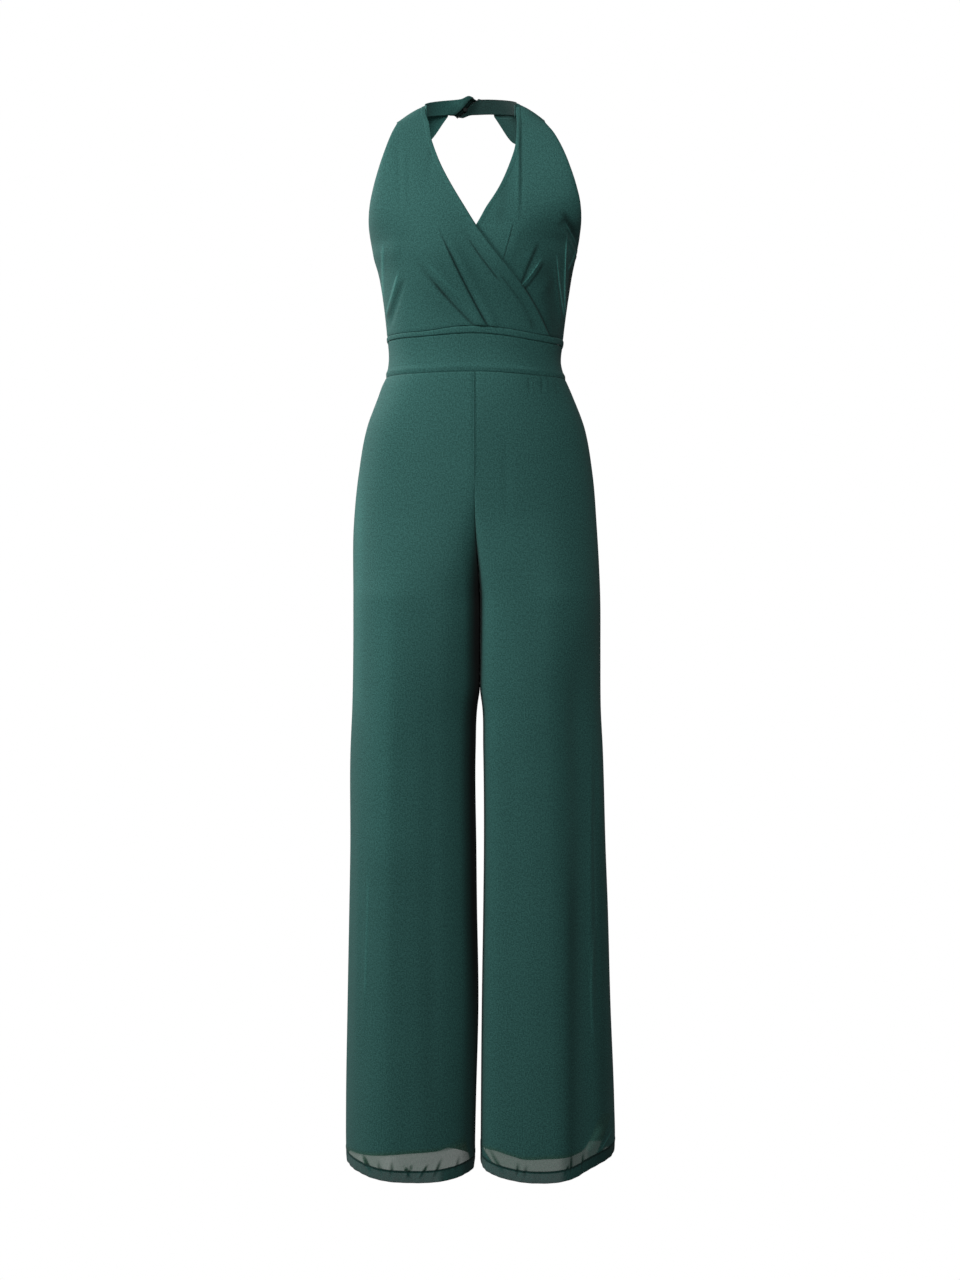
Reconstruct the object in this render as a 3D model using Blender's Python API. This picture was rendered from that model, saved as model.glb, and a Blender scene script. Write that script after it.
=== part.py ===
"""Halter-neck jumpsuit with a wrap front and wide legs, filled out as worn and hollow inside.

Metres, +Z up. The front faces -Y and the wearer's left is at +X. The origin is on the inner
face of the neck strap at the nape, from which the garment hangs.

Angles run anticlockwise as seen from above: 180 degrees is the wearer's right side (-X), 270 the
front, 360 or 0 the wearer's left side and 90 the back. Every grid of points has its rows running
down the cloth and its columns anticlockwise, so that the same cross product points outwards.
A side of -1 is the wearer's right and 1 the wearer's left.
"""

import math
from collections import namedtuple

import bmesh
import bpy
import numpy as np

# Walls
CLOTH = 0.0015
DOUBLE_CLOTH = 0.0020
LINING_CLOTH = 0.0012
SEAM_GAP = 0.0003

# Rows and columns of points in the bodice panels
RIGHT_FRONT_GRID = (42, 28)
LEFT_FRONT_GRID = (28, 18)
BACK_GRID = (8, 11)

# Levels of the horizontal seams
UNDERARM = -0.1966
STRIP_TOP = -0.3070
BAND_TOP = -0.3155
BAND_BOTTOM = -0.3640

# Front of the bodice and waist. Above the underarm, half_width and side_y follow the armhole edge.
FrontRow = namedtuple("FrontRow", "height centre half_width side_y front_y power")
FRONT = [
    FrontRow(-0.0360, -0.0060, 0.0970, -0.0790, -0.0900, 2.2),
    FrontRow(-0.0463, -0.0048, 0.1028, -0.0880, -0.0980, 2.2),
    FrontRow(-0.0747, -0.0029, 0.1150, -0.1030, -0.1150, 2.2),
    FrontRow(-0.1015, -0.0024, 0.1238, -0.1130, -0.1310, 2.2),
    FrontRow(-0.1267, -0.0022, 0.1310, -0.1160, -0.1430, 2.3),
    FrontRow(-0.1508, -0.0021, 0.1362, -0.1080, -0.1510, 2.4),
    FrontRow(-0.1738, -0.0020, 0.1374, -0.0870, -0.1550, 2.4),
    FrontRow(-0.1966, -0.0015, 0.1342, -0.0550, -0.1560, 2.4),
    FrontRow(-0.2228, -0.0010, 0.1282, -0.0550, -0.1540, 2.4),
    FrontRow(-0.2490, -0.0007, 0.1232, -0.0550, -0.1500, 2.4),
    FrontRow(-0.2752, -0.0009, 0.1190, -0.0550, -0.1450, 2.4),
    FrontRow(-0.3070, -0.0013, 0.1151, -0.0550, -0.1410, 2.4),
    FrontRow(-0.3400, -0.0016, 0.1128, -0.0550, -0.1400, 2.4),
    FrontRow(-0.3640, -0.0004, 0.1173, -0.0550, -0.1430, 2.4),
]

BackRow = namedtuple("BackRow", "height back_y")
BACK = [
    BackRow(-0.1966, 0.0470),
    BackRow(-0.2500, 0.0390),
    BackRow(-0.3070, 0.0300),
    BackRow(-0.3400, 0.0290),
    BackRow(-0.3640, 0.0330),
]
BACK_DIP = 0.022
BODY_SIDE_Y = -0.0550

# Pieces of the waistband and of the narrow raised strip above it
WaistPart = namedtuple("WaistPart", "place start end columns")
WAIST_PARTS = [
    WaistPart("front", math.pi, 2 * math.pi, 27),
    WaistPart("back_left", 0.0, math.pi / 2, 14),
    WaistPart("back_right", math.pi / 2, math.pi, 14),
]
STRIP_ROWS = 3
STRIP_PROUD = 0.0010
STRIP_WALL = 0.0030
WAISTBAND_ROWS = 4

# Cups: soft fullness that the pleats release over each side of the chest
CUP_FROM_CENTRE = 0.062
CUP_HEIGHT = -0.208
CUP_RADIUS = 0.054
CUP_DEPTH = 0.009

# Neckline edge of each panel, which goes on past the V as the wrap edge
NeckRow = namedtuple("NeckRow", "height right_x left_x")
NECKLINE = [
    NeckRow(-0.0106, -0.0665, 0.0531),
    NeckRow(-0.0417, -0.0607, 0.0525),
    NeckRow(-0.0604, -0.0578, 0.0516),
    NeckRow(-0.0740, -0.0538, 0.0497),
    NeckRow(-0.0985, -0.0451, 0.0424),
    NeckRow(-0.1180, -0.0360, 0.0350),
    NeckRow(-0.1362, -0.0264, 0.0262),
    NeckRow(-0.1580, -0.0138, 0.0125),
    NeckRow(-0.1806, -0.0002, -0.0002),
    NeckRow(-0.2213, 0.0300, -0.0310),
    NeckRow(-0.2489, 0.0545, -0.0550),
    NeckRow(-0.2867, 0.0830, -0.0830),
    NeckRow(-0.3070, 0.0950, -0.0950),
]
LAP = 0.0023
# The lap starts between these heights, and reaches this share of the way to the side
LAP_START = (-0.155, -0.178)
LAP_REACH = 0.6

# The panel's run from the nape over the shoulder. X is measured outwards from the neck's middle,
# and each row lies higher by tilt on the wearer's left and lower on the right.
NECK_CENTRE = -0.0070
ShoulderRow = namedtuple(
    "ShoulderRow", "inner_x inner_y inner_z outer_x outer_y outer_z crown_y crown_z tilt"
)
SHOULDER = [
    ShoulderRow(0.0302, -0.0030, -0.0070, 0.0308, -0.0024, -0.0110, 0.0, 0.0, 0.0),
    ShoulderRow(0.0418, -0.0108, -0.0095, 0.0548, -0.0085, -0.0428, 0.0015, 0.0, -0.0008),
    ShoulderRow(0.0530, -0.0250, -0.0125, 0.0745, -0.0235, -0.0440, 0.0030, 0.0020, -0.0010),
    ShoulderRow(0.0595, -0.0395, -0.0150, 0.0880, -0.0390, -0.0380, 0.0010, 0.0034, 0.0008),
    ShoulderRow(0.0610, -0.0510, -0.0072, 0.0945, -0.0530, -0.0320, 0.0, 0.0026, 0.0016),
    ShoulderRow(0.0607, -0.0625, -0.0088, 0.0956, -0.0650, -0.0315, -0.0010, 0.0024, 0.0016),
    ShoulderRow(0.0588, -0.0770, -0.0228, 0.0965, -0.0740, -0.0328, -0.0020, 0.0018, 0.0008),
]
ARMHOLE_SECTIONS = 12
SIDE_SECTIONS = 9

# Bodice pleats: each is a soft valley between two raised lips
Pleat = namedtuple("Pleat", "side top_x top_z bottom_x bottom_z width depth")
PLEATS = [
    Pleat(-1, -0.0433, -0.1977, 0.0151, -0.3057, 0.0062, 0.0040),
    Pleat(-1, -0.0659, -0.2378, -0.0039, -0.3057, 0.0062, 0.0038),
    Pleat(-1, -0.0140, -0.1977, 0.0640, -0.2780, 0.0062, 0.0024),
    Pleat(1, 0.0480, -0.1831, 0.0340, -0.2200, 0.0060, 0.0018),
    Pleat(1, 0.0774, -0.2142, 0.0560, -0.2540, 0.0065, 0.0034),
    Pleat(1, 0.0960, -0.2320, 0.0700, -0.2620, 0.0070, 0.0026),
]
# Shares of a pleat's length over which it swells and dies away
PLEAT_SWELL = (-0.15, 0.45)
PLEAT_FADE = (1.25, 0.95)
LIP_SPACING = 1.2
SECOND_LIP = 0.7

# Neck strap: a doubled band round the back of the neck, in two halves that pass at the nape
NECK_HALF_WIDTH = 0.0580
NECK_DEPTH = 0.0550
NECK_SIDE_Y = -0.0550
STRAP_ROWS = 4
STRAP_LOW_AT_SIDE = -0.0225
STRAP_RISE = 0.0150
STRAP_HEIGHT_AT_SIDE = 0.0175
STRAP_GROWTH = 0.0030
STRAP_TILT = 0.0010
STRAP_FORWARD = math.radians(4)
# The right end is cut on a slant, rises to a small crest and lifts off the left one.
RIGHT_END_TOP = math.radians(86.5)
RIGHT_END_LOW = math.radians(108)
RIGHT_COLUMNS = 16
CREST_ANGLE = math.radians(93)
CREST_HEIGHT = 0.0042
CREST_SPREAD = math.radians(7)
LIFT = 0.0030
LIFT_ANGLES = (math.radians(122), math.radians(96))
# The left end passes behind it, on the side away from the neck, and sags at its lower edge.
LEFT_END = math.radians(117)
LEFT_COLUMNS = 20
SAG_ANGLE = math.radians(101)
SAG_DEPTH = 0.0038
PASS_BEHIND = 0.0024
PASS_ANGLES = (math.radians(66), math.radians(86))
BUTTON_ANGLE = math.radians(97.5)
BUTTON_HEIGHT = -0.0010
BUTTON_RADIUS = 0.0032
BUTTON_THICKNESS = 0.0018
BUTTON_TAPER = 0.8

# Trousers: one hip that parts into two legs. The gap is the space between the legs.
TrouserRow = namedtuple("TrouserRow", "height right_x left_x centre gap front_y back_y power")
TROUSERS = [
    TrouserRow(-0.3640, -0.1180, 0.1172, -0.0026, 0.0, -0.1430, 0.0330, 2.40),
    TrouserRow(-0.3740, -0.1228, 0.1214, -0.0024, 0.0, -0.1450, 0.0380, 2.38),
    TrouserRow(-0.3900, -0.1285, 0.1277, -0.0020, 0.0, -0.1475, 0.0450, 2.36),
    TrouserRow(-0.4259, -0.1415, 0.1405, -0.0008, 0.0, -0.1510, 0.0580, 2.35),
    TrouserRow(-0.4914, -0.1538, 0.1524, 0.0016, 0.0, -0.1545, 0.0660, 2.30),
    TrouserRow(-0.5569, -0.1601, 0.1577, 0.0036, 0.0004, -0.1560, 0.0650, 2.25),
    TrouserRow(-0.6551, -0.1605, 0.1624, 0.0050, 0.0006, -0.1560, 0.0580, 2.20),
    TrouserRow(-0.7200, -0.1606, 0.1626, 0.0050, 0.0008, -0.1555, 0.0530, 2.15),
    TrouserRow(-0.7600, -0.1611, 0.1627, 0.0049, 0.0012, -0.1549, 0.0506, 2.12),
    TrouserRow(-0.7861, -0.1616, 0.1628, 0.0048, 0.0054, -0.1545, 0.0490, 2.10),
    TrouserRow(-0.8500, -0.1642, 0.1657, 0.0043, 0.0096, -0.1535, 0.0470, 2.10),
    TrouserRow(-0.9826, -0.1645, 0.1695, 0.0052, 0.0096, -0.1530, 0.0460, 2.10),
    TrouserRow(-1.0481, -0.1656, 0.1720, 0.0052, 0.0082, -0.1535, 0.0460, 2.10),
    TrouserRow(-1.1790, -0.1680, 0.1756, 0.0052, 0.0042, -0.1560, 0.0470, 2.10),
    TrouserRow(-1.3100, -0.1700, 0.1806, 0.0030, 0.0062, -0.1590, 0.0480, 2.10),
    TrouserRow(-1.3600, -0.1700, 0.1815, 0.0023, 0.0070, -0.1600, 0.0480, 2.10),
    TrouserRow(-1.4050, -0.1688, 0.1790, 0.0021, 0.0070, -0.1600, 0.0480, 2.10),
]
TROUSER_SIDE_Y = -0.0550
PARTING_TOP = -0.4900
CROTCH = -0.6520
PARTING_POWER = 2.2
PARTING_FULLNESS = 0.14
# How square each leg panel is across, between its middle and the inseam, and its middle and the
# side seam. The key is its side and face.
SQUARENESS = {(-1, -1): (3.4, 2.5), (1, -1): (3.8, 2.2), (-1, 1): (2.3, 2.2), (1, 1): (2.3, 2.2)}

# Rows of points in the leg panels: those above the crotch crowd towards the waistband
HIP_ROWS = 11
CROWDING = 1.5
LEG_ROWS = 12
LEG_COLUMNS = 14

# Hem edge of each leg: its height at front and back, its tilt towards +X and towards the back,
# and how much higher it hangs at the sides
HemEdge = namedtuple("HemEdge", "middle tilt_x tilt_back side_lift")
HEMS = {
    -1: HemEdge(-1.3932, -0.0043, 0.0028, 0.0071),
    1: HemEdge(-1.3922, 0.0030, 0.0040, 0.0164),
}
HEM_HEIGHT = 0.0148
HEM_COLUMNS = 26
HEM_CLEARANCE = 0.00055
# Puckers are two waves round the hem, and grow from nothing at the seam to its lower edge.
PUCKER_COUNT = 17
PUCKER_DEPTH = 0.0005
SLOW_PUCKER = 0.6
PUCKER_GROWTH = (0.0, 0.5, 1.0)

# Large soft folds of the legs: at is the share of the panel from inseam to side seam
Fold = namedtuple("Fold", "side face at width depth top bottom")
FOLDS = [
    Fold(-1, -1, 0.62, 0.095, 0.0040, -0.60, -1.45),
    Fold(-1, -1, 0.25, 0.200, -0.0105, -0.66, -1.45),
    Fold(-1, -1, 0.80, 0.045, 0.0012, -0.86, -1.28),
    Fold(1, -1, 0.42, 0.100, 0.0022, -0.60, -1.45),
    Fold(1, -1, 0.72, 0.125, -0.0125, -0.66, -1.45),
    Fold(1, -1, 0.90, 0.040, 0.0012, -0.80, -1.30),
    Fold(-1, 1, 0.50, 0.110, 0.0045, -0.66, -1.45),
    Fold(-1, 1, 0.68, 0.060, -0.0040, -0.84, -1.45),
    Fold(1, 1, 0.47, 0.110, 0.0045, -0.64, -1.45),
    Fold(1, 1, 0.30, 0.060, -0.0040, -0.90, -1.45),
]
FOLD_FADE = 0.16
FOLD_CLEAR_OF_SEAM = 0.12

# Leg linings: sleeves that hang inside the legs, sewn to them at the top
LINING_TOP = -1.2300
LINING_EDGE = -1.3690
LINING_ROWS = 5
LINING_CLEARANCE = 0.0008
LINING_SLACK = 0.0034
LINING_SLACK_LENGTH = 0.10
LINING_FRONT_RISE = 0.0045
# The left lining's edge is caught up at one place near the side seam.
LINING_SWING = {-1: 0.0, 1: 0.0340}
LINING_SWING_ANGLE = math.radians(348)
LINING_SWING_SPREAD = math.radians(24)

SHARP_ANGLE = math.radians(65)
GREEN = (0.028, 0.094, 0.083, 1.0)
LINING_GREEN = (0.018, 0.062, 0.056, 1.0)
BUTTON_GREEN = (0.008, 0.014, 0.014, 1.0)


def clear_scene():
    for item in list(bpy.data.objects):
        bpy.data.objects.remove(item, do_unlink=True)


def make_material(name, colour, roughness):
    material = bpy.data.materials.new(name)
    material.use_nodes = True
    shader = material.node_tree.nodes["Principled BSDF"]
    shader.inputs["Base Color"].default_value = colour
    shader.inputs["Roughness"].default_value = roughness
    shader.inputs["Metallic"].default_value = 0.0
    return material


def smoothstep(low, high, value):
    """0 below low, 1 above high and a smooth rise between. Low may be the larger of the two."""
    share = np.clip((value - low) / (high - low), 0.0, 1.0)
    return share * share * (3.0 - 2.0 * share)


def bell(distance, width):
    return np.exp(-((distance / width) ** 2))


def signed_power(value, exponent):
    return np.sign(value) * np.abs(value) ** exponent


def smooth_curve(stations, values, at):
    """Values on a smooth curve through rising stations. The values may be numbers or points."""
    slopes = np.gradient(values, stations, axis=0)
    at = np.clip(at, stations[0], stations[-1])
    index = np.clip(np.searchsorted(stations, at) - 1, 0, len(stations) - 2)
    span = stations[index + 1] - stations[index]
    share = (at - stations[index]) / span
    extra = (1,) * (values.ndim - 1)
    share = share.reshape(share.shape + extra)
    span = span.reshape(span.shape + extra)
    ease = share * share * (3.0 - 2.0 * share)
    leave = share * (1.0 - share) ** 2
    arrive = share * share * (share - 1.0)
    return (
        (1.0 - ease) * values[index]
        + ease * values[index + 1]
        + span * (leave * slopes[index] + arrive * slopes[index + 1])
    )


def read(table, column, height):
    """A column of a table that runs downwards, read at one height or many."""
    stations = np.array([row.height for row in table])[::-1]
    values = np.array([getattr(row, column) for row in table])[::-1]
    return smooth_curve(stations, values, np.asarray(height, dtype=float))


def loft(rows, count):
    """Evenly spaced rows on smooth curves through the given rows of points."""
    rows = np.array(rows)
    steps = np.linalg.norm(np.diff(rows, axis=0), axis=2).mean(axis=1)
    stations = np.concatenate([[0.0], np.cumsum(steps)])
    return smooth_curve(stations, rows, np.linspace(0.0, stations[-1], count))


def unit(vectors):
    return vectors / np.linalg.norm(vectors, axis=-1, keepdims=True)


def tangents(grid, closed):
    """Directions down the rows and along the columns at every point of a grid."""
    down = np.gradient(grid, axis=0, edge_order=min(2, grid.shape[0] - 1))
    if closed:
        along = np.roll(grid, -1, axis=1) - np.roll(grid, 1, axis=1)
    else:
        along = np.gradient(grid, axis=1, edge_order=2)
    return unit(down), unit(along)


def normals(grid, closed=False):
    down, along = tangents(grid, closed)
    return unit(np.cross(down, along))


def cloth_wall(name, outer, thickness, material, seams="", closed=False):
    """A closed wall whose outer face is the grid of points, made thicker inwards.

    Seams names the edges that are drawn back by half a seam gap: first and last columns, top and
    bottom rows, as the letters f, l, t and b. A closed wall joins its last column to its first.
    """
    down, along = tangents(outer, closed)
    inner = outer - thickness * unit(np.cross(down, along))
    for face in (outer, inner):
        pull = np.zeros_like(face)
        pull[:, 0] += along[:, 0] * ("f" in seams)
        pull[:, -1] -= along[:, -1] * ("l" in seams)
        pull[0] += down[0] * ("t" in seams)
        pull[-1] -= down[-1] * ("b" in seams)
        face += pull * SEAM_GAP / 2
    shape = bmesh.new()
    faces = [[[shape.verts.new(point) for point in row] for row in grid] for grid in (outer, inner)]
    rows, columns = outer.shape[:2]
    last = columns if closed else columns - 1
    for i in range(rows - 1):
        for j in range(last):
            k = (j + 1) % columns
            for grid in faces:
                shape.faces.new((grid[i][j], grid[i + 1][j], grid[i + 1][k], grid[i][k]))
    for i in (0, rows - 1):
        for j in range(last):
            k = (j + 1) % columns
            shape.faces.new((faces[0][i][j], faces[0][i][k], faces[1][i][k], faces[1][i][j]))
    if not closed:
        for j in (0, columns - 1):
            for i in range(rows - 1):
                shape.faces.new(
                    (faces[0][i][j], faces[0][i + 1][j], faces[1][i + 1][j], faces[1][i][j])
                )
    bmesh.ops.recalc_face_normals(shape, faces=shape.faces)
    return finish(name, shape, material)


def finish(name, shape, material):
    mesh = bpy.data.meshes.new(name)
    shape.to_mesh(mesh)
    shape.free()
    mesh.shade_smooth()
    mesh.set_sharp_from_angle(angle=SHARP_ANGLE)
    mesh.materials.append(material)
    item = bpy.data.objects.new(name, mesh)
    bpy.context.scene.collection.objects.link(item)
    return item


def side_line(height):
    """How far forward the front's side edge lies: on the side seam, or on the armhole above it."""
    return np.minimum(read(FRONT, "side_y", height), BODY_SIDE_Y)


def front_points(height, angle):
    """Points of the bodice form at the front, at one height and many angles."""
    power = read(FRONT, "power", height)
    centre = read(FRONT, "centre", height)
    side_y = side_line(height)
    x = centre + read(FRONT, "half_width", height) * signed_power(np.cos(angle), 2 / power)
    depth = side_y - read(FRONT, "front_y", height)
    y = side_y - depth * np.abs(np.sin(angle)) ** (2 / power)
    for side in (-1, 1):
        across = x - centre - side * CUP_FROM_CENTRE
        cup = CUP_DEPTH * bell(np.hypot(across, height - CUP_HEIGHT), CUP_RADIUS)
        y = y - cup * np.sin(angle) ** 2
    return np.stack([x, y, np.full_like(x, height)], axis=-1)


def front_angle(height, x):
    """The angle at which the front form has a given x."""
    across = (x - read(FRONT, "centre", height)) / read(FRONT, "half_width", height)
    return 2 * math.pi - np.arccos(signed_power(across, read(FRONT, "power", height) / 2))


def shoulder_points(row, side, share):
    """One row from the armhole edge (share 0) to the neck edge (share 1)."""
    tilt = side * row.tilt
    outer = np.array([NECK_CENTRE + side * row.outer_x, row.outer_y, row.outer_z + tilt])
    inner = np.array([NECK_CENTRE + side * row.inner_x, row.inner_y, row.inner_z + tilt])
    crown = np.array([0.0, row.crown_y, row.crown_z])
    share = share[:, None]
    return outer + (inner - outer) * share + 4 * share * (1 - share) * crown


def bodice_front_grid(side, rows, columns):
    """Panel from the nape over the shoulder and down the chest to the waist."""
    share = np.linspace(0.0, 1.0, columns)
    to_neck = share if side < 0 else share[::-1]
    controls = [shoulder_points(row, side, to_neck) for row in SHOULDER]
    edge = "right_x" if side < 0 else "left_x"
    armhole = np.linspace(FRONT[0].height, UNDERARM, ARMHOLE_SECTIONS, endpoint=False)
    for height in np.append(armhole, np.linspace(UNDERARM, STRIP_TOP, SIDE_SECTIONS)):
        neck_angle = front_angle(height, read(NECKLINE, edge, height))
        if side < 0:
            angle = math.pi + (neck_angle - math.pi) * share
        else:
            angle = neck_angle + (2 * math.pi - neck_angle) * share
        controls.append(front_points(height, angle))
    grid = loft(controls, rows)
    # The smooth curves swing past the side seam where the armhole runs into it.
    below_armhole = grid[..., 2] < UNDERARM
    grid[below_armhole, 1] = np.minimum(grid[below_armhole, 1], BODY_SIDE_Y)
    return grid


def pleat_relief(side, grid):
    """How far the pleats lift the cloth at each point."""
    relief = np.zeros(grid.shape[:2])
    for pleat in PLEATS:
        if pleat.side != side:
            continue
        run_x = pleat.bottom_x - pleat.top_x
        run_z = pleat.bottom_z - pleat.top_z
        length = math.hypot(run_x, run_z)
        x = grid[..., 0] - pleat.top_x
        z = grid[..., 2] - pleat.top_z
        along = (x * run_x + z * run_z) / length**2
        across = (x * run_z - z * run_x) / length
        fade = smoothstep(*PLEAT_SWELL, along) * smoothstep(*PLEAT_FADE, along)
        lip = LIP_SPACING * pleat.width
        lips = bell(across + lip, pleat.width) + SECOND_LIP * bell(across - lip, pleat.width)
        relief += pleat.depth * fade * lips
    return relief


def lapped(grid):
    """1 where the right front laps over the left one, and 0 clear of its edge."""
    x, z = grid[..., 0], grid[..., 2]
    edge = read(NECKLINE, "right_x", z)
    side_x = read(FRONT, "centre", z) + read(FRONT, "half_width", z)
    across = smoothstep(edge + LAP_REACH * (side_x - edge), edge, x)
    return across * smoothstep(*LAP_START, z)


def make_bodice(material):
    right = bodice_front_grid(-1, *RIGHT_FRONT_GRID)
    right += normals(right) * pleat_relief(-1, right)[..., None]
    cloth_wall("bodice_front_right", right, CLOTH, material, seams="fb")
    left = bodice_front_grid(1, *LEFT_FRONT_GRID)
    under = lapped(left)
    push = pleat_relief(1, left) * (1 - under) - LAP * under
    left += normals(left) * push[..., None]
    cloth_wall("bodice_front_left", left, CLOTH, material, seams="lb")
    for name, start in (("bodice_back_left", 0.0), ("bodice_back_right", math.pi / 2)):
        rows, columns = BACK_GRID
        angle = np.linspace(start, start + math.pi / 2, columns)
        top = UNDERARM - BACK_DIP * np.sin(angle) ** 2
        share = np.linspace(0.0, 1.0, rows)[:, None]
        height = top + share * (STRIP_TOP - top)
        cloth_wall(name, waist_grid(height, angle), CLOTH, material, seams="flb")


def waist_grid(height, angle):
    """Points of the bodice or waist form, for heights and angles of any matching shape."""
    height, angle = np.broadcast_arrays(height, angle)
    power = 2 / read(FRONT, "power", height)
    side_y = side_line(height)
    front = read(FRONT, "front_y", height) - side_y
    back = read(BACK, "back_y", height) - side_y
    x = read(FRONT, "centre", height) + read(FRONT, "half_width", height) * signed_power(
        np.cos(angle), power
    )
    swell = np.abs(np.sin(angle)) ** power
    y = side_y + swell * np.where(np.sin(angle) < 0, front, back)
    return np.stack([x, y, height], axis=-1)


def make_waist(material):
    for part in WAIST_PARTS:
        angle = np.linspace(part.start, part.end, part.columns)
        height = np.linspace(STRIP_TOP, BAND_TOP, STRIP_ROWS)[:, None]
        strip = waist_grid(height, angle)
        strip += normals(strip) * STRIP_PROUD
        cloth_wall(f"waist_strip_{part.place}", strip, STRIP_WALL, material, seams="fltb")
        height = np.linspace(BAND_TOP, BAND_BOTTOM, WAISTBAND_ROWS)[:, None]
        band = waist_grid(height, angle)
        cloth_wall(f"waistband_{part.place}", band, DOUBLE_CLOTH, material, seams="fltb")


def strap_grid(angle, edges, layer):
    """Points round the back of the neck, between the strap's edges and out by layer."""
    top, bottom = edges
    share = np.linspace(0.0, 1.0, STRAP_ROWS)[:, None]
    half_width = NECK_HALF_WIDTH + DOUBLE_CLOTH + layer
    depth = NECK_DEPTH + DOUBLE_CLOTH + layer
    x = NECK_CENTRE + half_width * np.cos(angle)
    y = NECK_SIDE_Y + depth * np.sin(angle)
    return np.stack(np.broadcast_arrays(x, y, top + share * (bottom - top)), axis=-1)


def strap_edges(angle):
    bottom = STRAP_LOW_AT_SIDE + STRAP_RISE * np.sin(angle) + STRAP_TILT * np.cos(angle)
    return bottom + STRAP_HEIGHT_AT_SIDE + STRAP_GROWTH * np.sin(angle), bottom


def make_right_strap(material):
    share = np.linspace(0.0, 1.0, STRAP_ROWS)[:, None]
    end = RIGHT_END_TOP + share * (RIGHT_END_LOW - RIGHT_END_TOP)
    angle = end + (math.pi + STRAP_FORWARD - end) * np.linspace(0.0, 1.0, RIGHT_COLUMNS)
    top, bottom = strap_edges(angle)
    top = top + CREST_HEIGHT * bell(angle - CREST_ANGLE, CREST_SPREAD)
    grid = strap_grid(angle, (top, bottom), -LIFT * smoothstep(*LIFT_ANGLES, angle))
    cloth_wall("neck_strap_right", grid, DOUBLE_CLOTH, material)


def make_left_strap(material):
    angle = np.linspace(-STRAP_FORWARD, LEFT_END, LEFT_COLUMNS)[None, :]
    top, bottom = strap_edges(angle)
    bottom = bottom - SAG_DEPTH * bell(angle - SAG_ANGLE, CREST_SPREAD)
    grid = strap_grid(angle, (top, bottom), PASS_BEHIND * smoothstep(*PASS_ANGLES, angle))
    cloth_wall("neck_strap_left", grid, DOUBLE_CLOTH, material)


def make_button(material):
    """Small flat button sewn to the inner face of the left strap end."""
    shape = bmesh.new()
    bmesh.ops.create_cone(
        shape,
        cap_ends=True,
        segments=20,
        radius1=BUTTON_RADIUS,
        radius2=BUTTON_RADIUS * BUTTON_TAPER,
        depth=BUTTON_THICKNESS,
    )
    button = finish("neck_button", shape, material)
    reach = PASS_BEHIND - SEAM_GAP - BUTTON_THICKNESS / 2
    button.rotation_euler = (math.pi / 2, 0.0, BUTTON_ANGLE - math.pi / 2)
    button.location = (
        NECK_CENTRE + (NECK_HALF_WIDTH + reach) * math.cos(BUTTON_ANGLE),
        NECK_SIDE_Y + (NECK_DEPTH + reach) * math.sin(BUTTON_ANGLE),
        BUTTON_HEIGHT,
    )


def hem_height(side, angle):
    """Height of a leg's lower edge at an angle round that leg."""
    hem = HEMS[side]
    tilt = hem.tilt_x * np.cos(angle) + hem.tilt_back * np.sin(angle)
    return hem.middle + tilt + hem.side_lift * np.cos(angle) ** 2


def leg_angle(side, face, along):
    """Angle round one leg. Along runs from the inseam (0) to the side seam (1)."""
    if side > 0:
        turn = math.pi * (1 - along)
    else:
        turn = math.pi * along
    return turn if face > 0 else 2 * math.pi - turn


def fold_relief(side, face, along, height):
    relief = np.zeros(np.broadcast(along, height).shape)
    for fold in FOLDS:
        if fold.side != side or fold.face != face:
            continue
        fade = smoothstep(fold.top, fold.top - FOLD_FADE, height)
        fade = fade * smoothstep(fold.bottom, fold.bottom + FOLD_FADE / 2, height)
        relief += fold.depth * fade * bell(along - fold.at, fold.width)
    from_inseam = smoothstep(0.0, FOLD_CLEAR_OF_SEAM, along)
    from_side = smoothstep(1.0, 1.0 - FOLD_CLEAR_OF_SEAM, along)
    return relief * from_inseam * from_side


def trouser_grid(side, face, along, height, inset=0.0):
    """Points of one leg and its half of the hip, moved inwards by inset."""
    along, height = np.broadcast_arrays(along, height)
    power = 2 / read(TROUSERS, "power", height)
    side_x = read(TROUSERS, "right_x" if side < 0 else "left_x", height)
    seam_x = read(TROUSERS, "centre", height) + side * read(TROUSERS, "gap", height) / 2
    face_y = read(TROUSERS, "front_y" if face < 0 else "back_y", height)
    depth = face_y - TROUSER_SIDE_Y
    middle_x = (seam_x + side_x) / 2
    half_width = (side_x - seam_x) / 2

    half = math.pi * (1 - along)
    x = middle_x + half_width * signed_power(np.cos(half), power)
    across = np.clip((x - seam_x) / (side_x - seam_x), 0.0, 1.0)
    hip_swell = (1 - across ** (2 / power)) ** (power / 2)
    inner, outer = SQUARENESS[side, face]
    square = np.where(along < 0.5, inner, outer)
    leg_swell = (1 - np.abs(np.cos(half)) ** (power * square)) ** (1 / square)
    parted = np.clip((PARTING_TOP - height) / (PARTING_TOP - CROTCH), 0.0, 1.0) ** PARTING_POWER
    swell = hip_swell + (leg_swell - hip_swell) * parted
    y = depth * swell * (1 + PARTING_FULLNESS * parted * (1 - parted))
    out = unit(np.stack([(x - middle_x) / half_width**2, y / depth**2], axis=-1))
    push = fold_relief(side, face, along, height) - inset
    x = x + out[..., 0] * push
    y = y + out[..., 1] * push
    return np.stack([x, TROUSER_SIDE_Y + y, height], axis=-1)


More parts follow.
